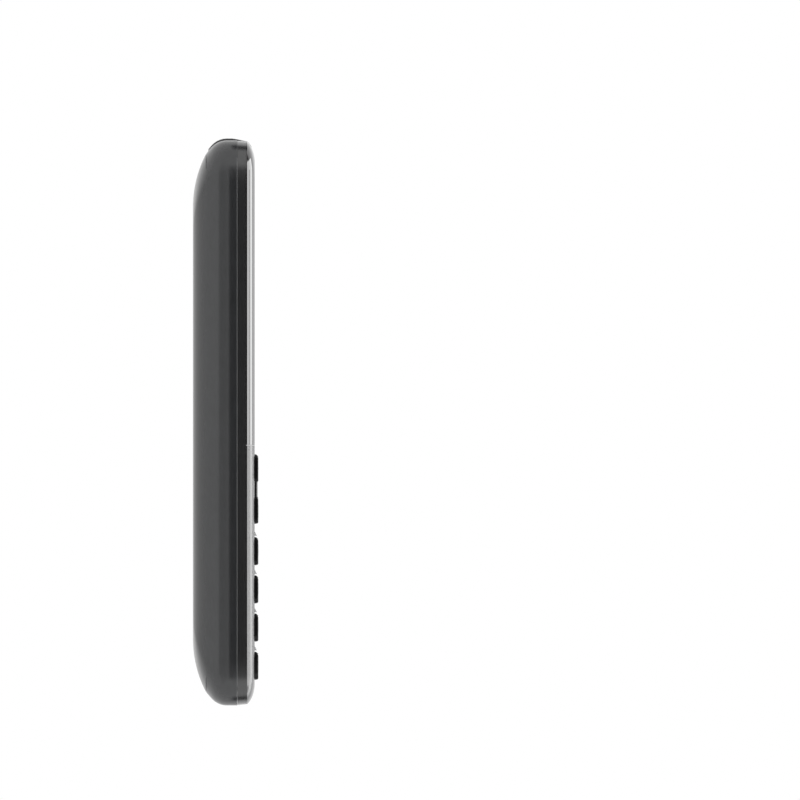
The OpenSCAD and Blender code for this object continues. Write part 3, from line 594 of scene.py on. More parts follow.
    def smooth(self, shading: Shading) -> "Shape":
        """Shades the shape smooth up to an angle, and weights its normals by face.

        Args:
            shading: Angle for this kind of piece.

        Returns:
            The shape itself.
        """
        self._alone()
        bpy.ops.object.shade_smooth_by_angle(angle=math.radians(shading.value),
                                             keep_sharp_edges=True)
        return self.modify("WEIGHTED_NORMAL", weight=50, keep_sharp=True)

    def place(self, body: str, slot: str, finish: bpy.types.Material, *nodes: str) -> "Shape":
        """Dresses the shape, rides it on its body and hides what it replaces.

        Args:
            body: Body that the piece moves with.
            slot: Material slot in the record; not used.
            finish: Material of the piece.
            nodes: Solids that the piece stands for.

        Returns:
            The shape itself.
        """
        self._alone()
        self.obj.data.materials.clear()
        self.obj.data.materials.append(finish)
        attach(self.obj, body)
        if nodes:
            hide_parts(*nodes)
        LOG.info("%s rides on %s, %d faces", self.obj.name, body, len(self.obj.data.polygons))
        return self


class Nodes:
    """Small helper that wires a material's nodes."""

    def __init__(self, name: str) -> None:
        """Starts a material with its surface shader and its object coordinates.

        Args:
            name: Name of the material.
        """
        self.material = bpy.data.materials.new(name)
        self.material.use_nodes = True
        self.tree = self.material.node_tree
        self.shader = self.tree.nodes["Principled BSDF"]
        self.place = self.add("ShaderNodeTexCoord").outputs["Object"]

    def add(self, kind: str, **settings: object) -> bpy.types.Node:
        """Adds a node and sets its properties.

        Args:
            kind: Type of the node.
            settings: Its properties.

        Returns:
            The node.
        """
        node = self.tree.nodes.new(kind)
        for key, value in settings.items():
            setattr(node, key, value)
        return node

    def wire(self, source: bpy.types.NodeSocket, target: bpy.types.NodeSocket) -> None:
        """Joins two sockets."""
        self.tree.links.new(source, target)

    def split(self) -> bpy.types.Node:
        """Takes the object coordinates apart.

        Returns:
            The node, with one output for each axis.
        """
        node = self.add("ShaderNodeSeparateXYZ")
        self.wire(self.place, node.inputs["Vector"])
        return node

    def noise(self, scale: float, detail: float = 3.0,
              stretch: Optional[Point] = None) -> bpy.types.NodeSocket:
        """Gives a noise in object coordinates.

        Args:
            scale: Cells in a metre.
            detail: Number of finer layers.
            stretch: Scale along each axis, for brushed or drawn surfaces.

        Returns:
            The noise's value socket.
        """
        source = self.place
        if stretch is not None:
            mapping = self.add("ShaderNodeMapping")
            mapping.inputs["Scale"].default_value = stretch
            self.wire(source, mapping.inputs["Vector"])
            source = mapping.outputs["Vector"]
        noise = self.add("ShaderNodeTexNoise")
        noise.inputs["Scale"].default_value = scale
        noise.inputs["Detail"].default_value = detail
        self.wire(source, noise.inputs["Vector"])
        return noise.outputs["Fac"]

    def blend(self, mask: bpy.types.NodeSocket, first: Colour, second: Colour,
              low: float = 0.35, high: float = 0.65) -> bpy.types.NodeSocket:
        """Gives a colour between two tones, by a mask.

        Args:
            mask: Socket of the mask.
            first: Colour where the mask is low.
            second: Colour where it is high.
            low: Mask up to which the first colour is pure.
            high: Mask from which the second colour is pure.

        Returns:
            The colour's socket.
        """
        ramp = self.add("ShaderNodeValToRGB")
        ramp.color_ramp.elements[0].position = low
        ramp.color_ramp.elements[1].position = high
        ramp.color_ramp.elements[0].color = (*first, 1.0)
        ramp.color_ramp.elements[1].color = (*second, 1.0)
        self.wire(mask, ramp.inputs["Fac"])
        return ramp.outputs["Color"]

    def spread(self, mask: bpy.types.NodeSocket, low: float, high: float,
               start: float = 0.3, end: float = 0.7) -> bpy.types.NodeSocket:
        """Takes a mask from one span, a noise's by default, to a new one.

        Args:
            mask: Socket of the mask.
            low: Value at the start of the span.
            high: Value at its end.
            start: Mask at which the span starts.
            end: Mask at which it ends.

        Returns:
            The value's socket.
        """
        span = self.add("ShaderNodeMapRange")
        span.inputs["From Min"].default_value = start
        span.inputs["From Max"].default_value = end
        span.inputs["To Min"].default_value = low
        span.inputs["To Max"].default_value = high
        self.wire(mask, span.inputs["Value"])
        return span.outputs["Result"]

    def sum(self, how: str, first: object, second: object) -> bpy.types.NodeSocket:
        """Combines two values, each a socket or a number.

        Args:
            how: Operation of the node.
            first: First value.
            second: Second value.

        Returns:
            The value's socket.
        """
        node = self.add("ShaderNodeMath", operation=how)
        for socket, value in zip(node.inputs, (first, second)):
            if isinstance(value, bpy.types.NodeSocket):
                self.wire(value, socket)
            else:
                socket.default_value = value
        return node.outputs["Value"]

    def bump(self, height: bpy.types.NodeSocket, depth: float, strength: float = 0.5) -> None:
        """Gives the surface a relief, its depth in millimetres.

        Args:
            height: Socket of the relief.
            depth: Its depth.
            strength: Share of it that shows.
        """
        bump = self.add("ShaderNodeBump")
        bump.inputs["Strength"].default_value = strength
        bump.inputs["Distance"].default_value = depth * MM
        self.wire(height, bump.inputs["Height"])
        self.wire(bump.outputs["Normal"], self.shader.inputs["Normal"])

    def colour(self, socket: bpy.types.NodeSocket) -> None:
        """Sends a colour to the surface."""
        self.wire(socket, self.shader.inputs["Base Color"])

    def rough(self, socket: bpy.types.NodeSocket) -> None:
        """Sends a roughness to the surface."""
        self.wire(socket, self.shader.inputs["Roughness"])

    def show(self, socket: bpy.types.NodeSocket) -> None:
        """Sends a shader of its own to the surface."""
        self.wire(socket, self.tree.nodes["Material Output"].inputs["Surface"])

    def set(self, **values: float) -> None:
        """Sets plain numbers on the shader's own sockets."""
        for key, value in values.items():
            self.shader.inputs[key.replace("_", " ")].default_value = value


@dataclass(frozen=True)
class Moulded:
    """Moulded plastic, rubber, film or metal with a fine grain."""

    name: str
    tone: Colour
    second: Colour
    rough: float
    spread: float = 0.06
    grain: float = 3500.0
    depth: float = 0.012
    coat: float = 0.0
    specular: float = 0.5
    metal: float = 0.0
    stretch: Optional[Point] = None
    mottle: float = 260.0
    mottle_detail: float = 4.0
    grain_detail: float = 2.0

    def material(self) -> bpy.types.Material:
        """Builds the node material.

        Returns:
            The material.
        """
        nodes = Nodes(self.name)
        mottle = nodes.noise(self.mottle, self.mottle_detail, self.stretch)
        grain = nodes.noise(self.grain, self.grain_detail, self.stretch)
        nodes.colour(nodes.blend(mottle, self.tone, self.second))
        nodes.rough(nodes.spread(grain, self.rough - self.spread, self.rough + self.spread))
        nodes.bump(grain, self.depth)
        nodes.set(Coat_Weight=self.coat, Coat_Roughness=self.rough, Metallic=self.metal,
                  Specular_IOR_Level=self.specular)
        return nodes.material


@dataclass(frozen=True)
class Glazed:
    """Black-backed window, with the display's field a shade lighter."""

    name: str
    border: Colour
    field: Colour
    half: Tuple[float, float]
    centre: Tuple[float, float]
    rough: Tuple[float, float] = (0.03, 0.07)
    haze: float = 900.0
    coat_rough: float = 0.03
    ior: float = 1.7
    coat_ior: float = 1.6

    def material(self) -> bpy.types.Material:
        """Builds the node material.

        Returns:
            The material.
        """
        nodes = Nodes(self.name)
        split = nodes.split()
        inside = []
        for axis, half, middle in zip("XY", self.half, self.centre):
            off = nodes.sum("SUBTRACT", split.outputs[axis], middle * MM)
            inside.append(nodes.sum("LESS_THAN", nodes.sum("ABSOLUTE", off, 0.0), half * MM))
        field = nodes.sum("MULTIPLY", *inside)
        nodes.colour(nodes.blend(field, self.border, self.field, *HARD_EDGE))
        nodes.rough(nodes.spread(nodes.noise(self.haze), *self.rough))
        nodes.set(Coat_Weight=1.0, Coat_Roughness=self.coat_rough, IOR=self.ior,
                  Coat_IOR=self.coat_ior)
        return nodes.material


@dataclass(frozen=True)
class Woven:
    """Cloth or wire of two crossing threads."""

    name: str
    tone: Colour
    second: Colour
    pitch: float
    rough: float
    spread: float = 0.08
    depth: float = 0.05
    edge: Tuple[float, float] = (0.3, 0.9)

    def material(self) -> bpy.types.Material:
        """Builds the node material.

        Returns:
            The material.
        """
        nodes = Nodes(self.name)
        threads = []
        for direction in ("X", "Y"):
            wave = nodes.add("ShaderNodeTexWave", bands_direction=direction)
            wave.inputs["Scale"].default_value = WAVE_LENGTH / (self.pitch * MM)
            nodes.wire(nodes.place, wave.inputs["Vector"])
            threads.append(wave.outputs["Fac"])
        weave = nodes.sum("MAXIMUM", *threads)
        nodes.colour(nodes.blend(weave, self.tone, self.second, *self.edge))
        nodes.rough(nodes.spread(weave, self.rough - self.spread, self.rough + self.spread))
        nodes.bump(weave, self.depth)
        return nodes.material


@dataclass(frozen=True)
class Circuit:
    """Solder mask over copper tracks."""

    name: str
    mask: Colour
    track: Colour
    pitch: float
    shift: float = 0.37
    squash: float = 0.6
    width: float = 0.035
    edge: Tuple[float, float] = (0.2, 0.8)
    rough: Tuple[float, float] = (0.28, 0.42)
    haze: float = 700.0
    depth: float = 0.02

    def material(self) -> bpy.types.Material:
        """Builds the node material.

        Returns:
            The material.
        """
        nodes = Nodes(self.name)
        tracks = nodes.add("ShaderNodeTexBrick", offset=self.shift, squash=self.squash)
        tracks.inputs["Scale"].default_value = 1.0 / (self.pitch * MM)
        tracks.inputs["Mortar Size"].default_value = self.width
        nodes.wire(nodes.place, tracks.inputs["Vector"])
        nodes.colour(nodes.blend(tracks.outputs["Fac"], self.mask, self.track, *self.edge))
        nodes.rough(nodes.spread(nodes.noise(self.haze), *self.rough))
        nodes.bump(tracks.outputs["Fac"], self.depth)
        return nodes.material


@dataclass(frozen=True)
class Wrapped:
    """Printed wrap of the battery, with a bare panel across it."""

    name: str
    ground: Colour
    panel: Colour
    low: float
    high: float
    wrinkle: float = 420.0
    detail: float = 5.0
    rough: Tuple[float, float] = (0.3, 0.45)
    depth: float = 0.03
    strength: float = 0.3

    def material(self) -> bpy.types.Material:
        """Builds the node material.

        Returns:
            The material.
        """
        nodes = Nodes(self.name)
        split = nodes.split()
        over = nodes.sum("GREATER_THAN", split.outputs["Y"], self.low * MM)
        under = nodes.sum("LESS_THAN", split.outputs["Y"], self.high * MM)
        panel = nodes.sum("MULTIPLY", over, under)
        nodes.colour(nodes.blend(panel, self.ground, self.panel, *HARD_EDGE))
        wrinkle = nodes.noise(self.wrinkle, self.detail)
        nodes.rough(nodes.spread(wrinkle, *self.rough))
        nodes.bump(wrinkle, self.depth, self.strength)
        return nodes.material


@dataclass(frozen=True)
class Lamp:
    """Tinted torch lens, deeper in colour towards its rim and finely ringed."""

    name: str
    middle: Colour
    rim: Colour
    centre: Tuple[float, float]
    radius: float
    edge: Tuple[float, float] = (0.25, 1.0)
    rough: Tuple[float, float] = (0.14, 0.22)
    haze: float = 1500.0
    turns: float = 44.0
    depth: float = 0.02
    strength: float = 0.4
    coat: float = 0.4
    coat_rough: float = 0.05

    def material(self) -> bpy.types.Material:
        """Builds the node material.

        Returns:
            The material.
        """
        nodes = Nodes(self.name)
        split = nodes.split()
        squares = []
        for axis, middle in zip("XZ", self.centre):
            off = nodes.sum("SUBTRACT", split.outputs[axis], middle * MM)
            squares.append(nodes.sum("MULTIPLY", off, off))
        reach = nodes.sum("SQRT", nodes.sum("ADD", *squares), 0.0)
        out = nodes.sum("DIVIDE", reach, self.radius * MM)
        nodes.colour(nodes.blend(out, self.middle, self.rim, *self.edge))
        nodes.rough(nodes.spread(nodes.noise(self.haze), *self.rough))
        rings = nodes.sum("SINE", nodes.sum("MULTIPLY", out, self.turns), 0.0)
        nodes.bump(rings, self.depth, self.strength)
        nodes.set(Coat_Weight=self.coat, Coat_Roughness=self.coat_rough)
        return nodes.material


class Palette:
    """All finishes, by the slots of the record."""

    FINISHES = {finish.name: finish for finish in (
        Moulded("cover_grey", (0.027, 0.0282, 0.0305), (0.0305, 0.032, 0.0345), 0.2, 0.02,
                5200.0, 0.002, specular=0.85),
        Moulded("housing_black", (0.018, 0.018, 0.019), (0.021, 0.021, 0.022), 0.25, 0.02,
                4200.0, 0.0015, coat=1.0, specular=0.7),
        Glazed("lens_black", (0.003, 0.003, 0.0035), (0.008, 0.009, 0.011), (16.4, 22.0),
               (0.0, 23.7)),
        Moulded("key_black", (0.006, 0.006, 0.006), (0.009, 0.009, 0.009), 0.36, 0.06,
                4600.0, 0.01, specular=0.3),
        Moulded("key_gloss", (0.006, 0.006, 0.0065), (0.009, 0.009, 0.0095), 0.2, 0.04,
                3600.0, 0.006),
        Moulded("bezel_gloss", (0.031, 0.032, 0.034), (0.037, 0.038, 0.04), 0.24, 0.04,
                3600.0, 0.004, specular=0.85),
        Moulded("frame_black", (0.008, 0.008, 0.0085), (0.013, 0.013, 0.0135), 0.5, 0.08,
                2600.0, 0.02),
        Moulded("connector_black", (0.006, 0.006, 0.006), (0.011, 0.011, 0.011), 0.42, 0.08),
        Woven("mesh_black", (0.004, 0.004, 0.004), (0.03, 0.03, 0.03), 0.35, 0.7),
        Moulded("foam", (0.006, 0.006, 0.006), (0.02, 0.02, 0.02), 0.9, 0.08, 1800.0, 0.08),
        Moulded("silicone", (0.03, 0.03, 0.031), (0.045, 0.045, 0.046), 0.6, 0.06,
                2400.0, 0.015),
        Moulded("display_glass", (0.01, 0.013, 0.018), (0.014, 0.018, 0.024), 0.07, 0.02,
                900.0, 0.002, coat=0.6),
        Moulded("white_plastic", (0.72, 0.72, 0.69), (0.78, 0.78, 0.75), 0.45, 0.06),
        Moulded("flex_film", (0.5, 0.19, 0.03), (0.6, 0.26, 0.05), 0.32, 0.06, 1200.0, 0.01),
        Circuit("board_green", (0.006, 0.07, 0.028), (0.02, 0.13, 0.055), 2.6),
        Moulded("dome_steel", (0.5, 0.5, 0.48), (0.62, 0.62, 0.6), 0.3, 0.06, 1800.0, 0.008,
                metal=0.9),
        Moulded("mesh_steel", (0.16, 0.16, 0.165), (0.22, 0.22, 0.225), 0.35, 0.08, metal=0.9),
        Moulded("speaker_can", (0.03, 0.03, 0.031), (0.05, 0.05, 0.051), 0.4, 0.08,
                2200.0, 0.015),
        Moulded("led_yellow", (0.75, 0.62, 0.1), (0.85, 0.72, 0.16), 0.35, 0.05, 1800.0, 0.01),
        Lamp("torch_lens", (0.46, 0.45, 0.06), (0.27, 0.27, 0.03), (9.0, 7.5), 2.2),
        Moulded("steel", (0.3, 0.3, 0.31), (0.4, 0.4, 0.41), 0.3, 0.08, 900.0, 0.006,
                metal=1.0, stretch=(0.15, 1.0, 1.0)),
        Moulded("screw_steel", (0.4, 0.4, 0.42), (0.55, 0.55, 0.57), 0.34, 0.08,
                3000.0, 0.006, metal=1.0),
        Moulded("tungsten", (0.3, 0.3, 0.31), (0.42, 0.42, 0.43), 0.42, 0.08, 2000.0, 0.012,
                metal=1.0),
        Wrapped("battery_can", (0.05, 0.055, 0.065), (0.55, 0.56, 0.57), -12.0, 10.0),
        Moulded("gold_contact", (0.85, 0.58, 0.2), (0.95, 0.68, 0.28), 0.24, 0.05,
                2600.0, 0.006, metal=1.0),
        Moulded("antenna_copper", (0.55, 0.25, 0.11), (0.68, 0.34, 0.17), 0.36, 0.08,
                1600.0, 0.01, metal=0.8),
        Moulded("legend_white", (0.62, 0.62, 0.62), (0.7, 0.7, 0.7), 0.5, 0.05),
        Moulded("legend_green", (0.03, 0.4, 0.07), (0.05, 0.48, 0.1), 0.5, 0.05),
        Moulded("legend_red", (0.55, 0.025, 0.02), (0.63, 0.04, 0.03), 0.5, 0.05),
    )}

    def __init__(self) -> None:
        """Starts with no material built."""
        self.built: Dict[str, bpy.types.Material] = {}

    def get(self, name: str) -> bpy.types.Material:
        """Gives a finish's material, built the first time it is asked for.

        Args:
            name: Slot of the finish.

        Returns:
            The material.
        """
        if name not in self.built:
            self.built[name] = self.FINISHES[name].material()
        return self.built[name]


@dataclass(frozen=True)
class BodyForm:
    """Outer form of the phone, as level rings."""

    half_w: float = 23.0
    half_l: float = 57.3
    mid_y: float = -0.2
    corner: float = 6.0
    least_r: float = 1.0
    seam_z: float = 9.0
    seam_gap: float = 0.02
    seam_in: float = 0.06
    shoulder: float = 8.4
    crease_z: float = 2.65
    crease_in: float = 2.7
    cap_l: float = 10.8
    ramp: float = math.radians(41.0)
    end_r: float = 4.2
    draft: float = 0.25
    bevel_side: float = 3.2
    bevel_end: float = 4.0
    bevel_start: float = math.radians(30.0)
    bevel_z: float = 11.0
    lens_z: float = 10.8
    lens_t: float = 1.7

    @property
    def top_z(self) -> float:
        """Height of the flat front."""
        return self.lens_z + self.lens_t

    @property
    def bottom_y(self) -> float:
        """Place of the bottom end."""
        return self.mid_y - self.half_l

    @property
    def top_y(self) -> float:
        """Place of the top end."""
        return self.mid_y + self.half_l

    def ring(self, dx: float, dy: float, radius: float, z: float) -> Ring:
        """Gives the outline set in at the sides and the ends."""
        return Ring(self.half_w - dx, self.half_l - dy, radius, z, 0.0, self.mid_y)

    def side_in(self, z: float, t: float) -> float:
        """Gives the inset of the side at a height, for a skin set in by t."""
        rise = (self.seam_z - z) / (self.seam_z - t)
        return t + (self.shoulder - t) * (1.0 - math.sqrt(max(0.0, 1.0 - rise * rise)))

    def end_in(self, z: float, t: float) -> float:
        """Gives the inset of the ends at a height, for a skin set out by a small amount.

        Args:
            z: Height above the back.
            t: Inset, zero or negative.

        Returns:
            The inset of the end's outline.
        """
        cap_r = (self.cap_l ** 2 + self.crease_z ** 2) / (2.0 * self.crease_z)
        arc_in = self.end_r * (1.0 - math.sin(self.ramp))
        ramp_z = self.crease_z + (self.crease_in - arc_in) * math.tan(self.ramp)
        flat_z = ramp_z + self.end_r * math.cos(self.ramp)
        if z < self.crease_z:
            start = self.crease_in + self.cap_l
            reach = max(0.0, cap_r ** 2 - (cap_r - max(0.0, z)) ** 2)
            return start - math.sqrt(reach) + t
        if z < ramp_z:
            return self.crease_in - (z - self.crease_z) / math.tan(self.ramp) + t
        if z < flat_z:
            reach = max(0.0, self.end_r ** 2 - (flat_z - z) ** 2)
            return self.end_r - math.sqrt(reach) + t
        return t

    def rear_rings(self, t: float = 0.0, cap: int = 10, wall: int = 22) -> List[Ring]:
        """Gives the rings from the back up to the seam, one of them on the crease.

        Args:
            t: Inset of the skin, negative to set it out.
            cap: Number of steps below the crease.
            wall: Number of steps above it.

        Returns:
            The rings, from the back up.
        """
        depth = self.seam_z - t
        turn = math.acos((depth - self.crease_z) / depth)
        angles = [turn * i / cap for i in range(cap + 1)]
        angles += [turn + (math.pi / 2 - turn) * i / wall for i in range(1, wall + 1)]
        rings = []
        for angle in angles:
            z = self.seam_z - depth * math.cos(angle)
            rings.append(self.ring(self.side_in(z, t), self.end_in(z, t), self.corner, z))
        return rings

    def bevel_rings(self, t: float = 0.0, steps: int = 12) -> List[Ring]:
        """Gives the rings of the rounded front edge.

        Args:
            t: Inset of the skin, negative to set it out.
            steps: Number of steps.

        Returns:
            The rings, from below.
        """
        rings = []
        low = math.sin(self.bevel_start)
        for i in range(steps + 1):
            u = self.bevel_start + (math.pi / 2 - self.bevel_start) * i / steps
            k = 1.0 - math.cos(u) / math.cos(self.bevel_start)
            x = self.draft + self.bevel_side * k + t
            y = self.draft + self.bevel_end * k + t
            rise = (math.sin(u) - low) / (1.0 - low)
            z = self.bevel_z + (self.top_z - self.bevel_z) * rise - t
            rings.append(self.ring(x, y, max(self.least_r, self.corner - x), z))
        return rings

    def front_rings(self) -> List[Ring]:
        """Gives the rings of the front half, set in a little so that the cover's rim shows."""
        step, low = self.seam_in, self.seam_z + self.seam_gap
        return [self.ring(step, step, self.corner - step, low), *self.bevel_rings()]


@dataclass(frozen=True)
class Torch:
    """Torch in the top end: a bezel that follows the body, and a tinted lens."""

    form: BodyForm
    palette: Palette
    x: float = 9.0
    z: float = 7.5
    radius: float = 4.4
    lens_r: float = 2.2
    back_y: float = 53.9
    proud: float = 0.2
    rise: float = 0.4
    front_rise: float = 0.05
    well_rise: float = 0.08
    fade: Tuple[float, float] = (8.0, 10.2)
    line: Tuple[float, float, float] = (3.94, 4.08, 0.16)
    past: float = 1.5
    step_r: float = 3.5
    dish: Tuple[float, float] = (4.0, 0.52)
    step_edge: Tuple[Tuple[float, float], ...] = ((0.1, 0.1), (0.0, 0.05))
    rim_r: float = 0.2
    rim_angle: float = 35.0
    well_r: float = 2.8
    seat_r: float = 2.25
    well_lip: Tuple[Tuple[float, float], ...] = ((-0.02, -0.02), (-0.1, 0.06), (-0.2, 0.02))
    well_wall: Tuple[Tuple[float, float], ...] = ((0.12, -0.4), (0.0, -0.5), (-0.05, -1.8))
    seat_drop: float = 2.0
    well_back: float = 0.4
    dome: float = 1.25
    dome_steps: int = 10
    lens_edge: Tuple[Tuple[float, float], ...] = ((-0.03, 0.03), (0.0, -0.1))
    lens_back: float = 1.0

    def cutter(self, name: str, gap: float, slot_to: float = 0.0) -> Shape:
        """Gives the room for the torch, open towards the front up to a height.

        Args:
            name: Name of the cutter.
            gap: Room left round the torch.
            slot_to: Height up to which the room is open, if it is.

        Returns:
            The cutter.
        """
        low, high = self.back_y - 1.0, self.form.top_y + 2.0
        reach = self.radius + gap
        middle = (self.x, (low + high) / 2, self.z)
        drum = Shape.drum(name, middle, reach, high - low, Axis.Y, Sides.LENS)
        if slot_to > self.z:
            drum.combine(Shape.block(name + "_slot", (self.x - reach, low, self.z),
                                     (self.x + reach, high, slot_to)), Join.ADD)
        return drum

    def body(self, rise: float, front: float) -> Shape:
        """Gives the body's outer form, set out by an amount that changes towards the front.

        Args:
            rise: Amount on the cover.
            front: Amount on the front half.

        Returns:
            The closed form.
        """
        rings = []
        start, end = self.fade
        for r in self.form.rear_rings(-max(0.0, rise)):
            drop = (rise - front) * min(1.0, max(0.0, (r.z - start) / (end - start)))
            rings.append(Ring(r.half_x - drop, r.half_y - drop, r.radius, r.z, r.x, r.y))
        rings += self.form.bevel_rings(-front)
        return Shape.solid("torch_body", rings, Corner.TORCH)

    def turned(self, name: str, profile: Sequence[Tuple[float, float]], sides: Sides) -> Shape:
        """Gives a profile spun round the torch's axis."""
        return Shape.lathe(name, (self.x, 0.0, self.z), profile, sides)

    def build_bezel(self) -> None:
        """Models the bezel, with its dish and the fine line near its rim."""
        top, back, step = self.form.top_y, self.back_y, self.step_r
        length = top + 1.0 - back
        bezel = Shape.drum("torch_ring", (self.x, back + length / 2, self.z), self.radius, length,
                           Axis.Y, Sides.BEZEL)
        bezel.combine(self.body(self.rise, self.front_rise), Join.KEEP)
        wide, rise = self.dish
        bezel.combine(self.turned("torch_dish", [
            (0.0, top + self.past), (wide, top + self.past), (wide, top + rise),
            *((step + out, top + up) for out, up in self.step_edge),
            (step, back - 0.5), (0.0, back - 0.5)], Sides.BEZEL))
        bezel.soften(self.rim_r, 3, self.rim_angle)
        inner, outer, deep = self.line
        line = self.turned("torch_line", [
            (inner, back), (outer, back), (outer, top + self.past), (inner, top + self.past),
            (inner, back)], Sides.BEZEL)
        line.combine(self.body(self.rise - deep, self.front_rise - deep))
        bezel.combine(line).smooth(Shading.ROUND)
        bezel.place("phone", "bezel_gloss", self.palette.get("bezel_gloss"), "torch_bezel")

    def build_well(self) -> None:
        """Models the dark well between the bezel and the lens."""
        top, step = self.form.top_y, self.step_r
        outer, foot = step + self.well_lip[0][0], self.back_y + self.well_back
        well = self.turned("torch_well", [
            *((step + out, top + up) for out, up in self.well_lip),
            *((self.well_r + out, top + up) for out, up in self.well_wall),
            (self.seat_r, top - self.seat_drop), (self.seat_r, foot),
            (outer, foot), (outer, top + self.well_lip[0][1])], Sides.BEZEL)
        well.combine(self.body(self.well_rise, self.front_rise), Join.KEEP)
        well.smooth(Shading.ROUND)
        well.place("phone", "connector_black", self.palette.get("key_gloss"))

    def build_lens(self) -> None:
        """Models the domed lens."""
        r, top, back = self.lens_r, self.form.top_y, self.back_y + self.lens_back
        tip = top + self.proud
        depth = self.proud / (1.0 - math.cos(self.dome))
        turns = [self.dome * i / self.dome_steps for i in range(self.dome_steps)]
        lens = self.turned("torch_disc", [
            *((r * math.sin(a), tip - depth * (1.0 - math.cos(a))) for a in turns),
            *((r + out, top + up) for out, up in self.lens_edge),
            (r, back), (0.0, back)], Sides.LENS)
        lens.smooth(Shading.LENS)
        lens.place("phone", "torch_lens", self.palette.get("torch_lens"), "torch_lens")

    def build(self) -> None:
        """Models the bezel, the dark well in it and the lens."""
        self.build_bezel()
        self.build_well()
        self.build_lens()


@dataclass(frozen=True)
class RearCover:
    """Shell that covers the back and the sides up to the seam."""

    form: BodyForm
    palette: Palette
    torch: Torch
    wall: float = 1.2
    rim: float = 0.07
    rim_reach: float = 0.2
    crease_end: float = 1.8
    line: Tuple[float, float, float] = (0.09, 0.1, 3.0)
    jack: Tuple[float, float, float] = (-8.5, 6.0, 1.85)
    mic: Tuple[float, float, float] = (-15.4, 7.5, 0.6)
    flare: Tuple[float, float, float] = (0.7, 1.0, 0.32)
    usb: Tuple[float, float, float, float] = (-0.5, 7.05, 3.8, 1.25)
    usb_cut: float = 0.8
    pry: Tuple[float, float, float] = (5.6, 4.8, 7.6)
    pad_z: Tuple[float, float] = (8.12, 0.02)
    pad_gap: float = 0.06
    pad_r: float = 0.06
    slots: Tuple[float, float, float, float, int] = (-8.0, 37.1, 8.0, 2.0, 5)
    slot_w: float = 0.9
    slot_r: float = 0.42
    tab_half: Tuple[float, float] = (0.6, 2.0)
    tab_z: Tuple[float, float] = (2.4, 0.3)
    tab_in: float = 1.3
    tab_r: float = 0.15
    tab_steps: Tuple[float, ...] = (-30.0, 0.0, 30.0)

    def build(self) -> None:
        """Models the shell with its openings and its inner tabs."""
        form = self.form
        shell = Shape.solid("rear_cover_shell", form.rear_rings(), Corner.BODY)
        shell.pick_faces(lambda c, n: n.z > UPRIGHT and c.z > form.seam_z - TINY).erase_faces()
        crease = form.half_l - form.crease_in - self.crease_end
        shell.pick_edges(lambda a, b: all(
            abs(p.z - form.crease_z) < NEAR and abs(p.y - form.mid_y) > crease
            for p in (a, b))).sharpen()
        shell.thicken(self.wall)
        outline = form.ring(0.0, 0.0, form.corner, form.seam_z)
        shell.edit().pick_edges(lambda a, b: all(
            p.z > form.seam_z - NEAR and outline.inset(p.x, p.y) < self.rim_reach
            for p in (a, b))).bevel(self.rim, 1)
        for cutter in [self.groove(), *self.cutters()]:
            shell.combine(cutter)
        shell.take_in(self.tabs()).smooth(Shading.SHELL)
        shell.place("cover", "cover_grey", self.palette.get("cover_grey"), "rear_cover")
        self.build_pad()

    def build_pad(self) -> None:
        """Models the pad of the frame that fills the pry corner above its slot."""
        form, gap = self.form, self.pad_gap
        low, high = self.pad_z[0], form.seam_z - self.pad_z[1]
        outer, inner = ([form.ring(d, d, form.corner - d, z) for z in (low, high)]
                        for d in (gap, self.wall - 0.1))
        pad = Shape.solid("pry_pad", outer, Corner.BODY)
        pad.combine(Shape.solid("cut_pad", inner, Corner.BODY))
        px, py, _ = self.pry
        pad.combine(Shape.block("pad_corner",
                                (form.half_w - px + gap, form.bottom_y - 1.0, low - 1.0),
                                (form.half_w + 1.0, form.bottom_y + py - gap, high + 1.0)),
                    Join.KEEP)
        pad.soften(self.pad_r, 2).smooth(Shading.SHELL)
        pad.place("phone", "cover_grey", self.palette.get("cover_grey"))

    def groove(self) -> Shape:
        """Gives the cutter of the fine line along the crease of both ends.

        Returns:
            The cutter.
        """
        form = self.form
        half, deep, past = self.line
        side = form.side_in(form.crease_z, 0.0)
        outer, inner = ([form.ring(side + d, form.crease_in + d, form.corner - d,
                                   form.crease_z + up) for up in (-half, half)]
                        for d in (-1.0, deep))
        band = Shape.solid("cut_crease", outer, Corner.BODY)
        band.combine(Shape.solid("cut_core", inner, Corner.BODY))
        reach = form.half_l - form.crease_in - form.corner + past
        band.combine(Shape.block("cut_middle", (-30.0, form.mid_y - reach, 0.0),
                                 (30.0, form.mid_y + reach, 6.0)))
        return band

    def cutters(self) -> List[Shape]:
        """Gives the shapes that open the shell.

        Returns:
            The cutters, in the order of the cuts.
        """
        form = self.form
        low, deep = form.bottom_y - 1.0, form.bottom_y + 6.0
        middle, length = (low + deep) / 2, deep - low
        cuts = [self.torch.cutter("cut_torch", 0.05, form.seam_z + 0.2)]
        for name, (x, z, r) in (("cut_jack", self.jack), ("cut_mic", self.mic)):
            cuts.append(Shape.drum(name, (x, middle, z), r, length, Axis.Y, Sides.HOLE))
        for name, (x, z, r) in (("flare_jack", self.jack), ("flare_mic", self.mic)):
            cuts.append(self.flared(name, x, z, r))
        x, z, hx, hz = self.usb
        usb = Shape.block("cut_usb", (x - hx, low, z - hz), (x + hx, deep, z + hz))
        cuts.append(usb.cut_upper_edges(x, z, hx, self.usb_cut))
        px, py, pz = self.pry
        cuts.append(Shape.block("cut_pry", (form.half_w - px, low, pz),
                                (form.half_w + 1.0, form.bottom_y + py, form.seam_z + 1.0)))
        return cuts + self.sound_slots()

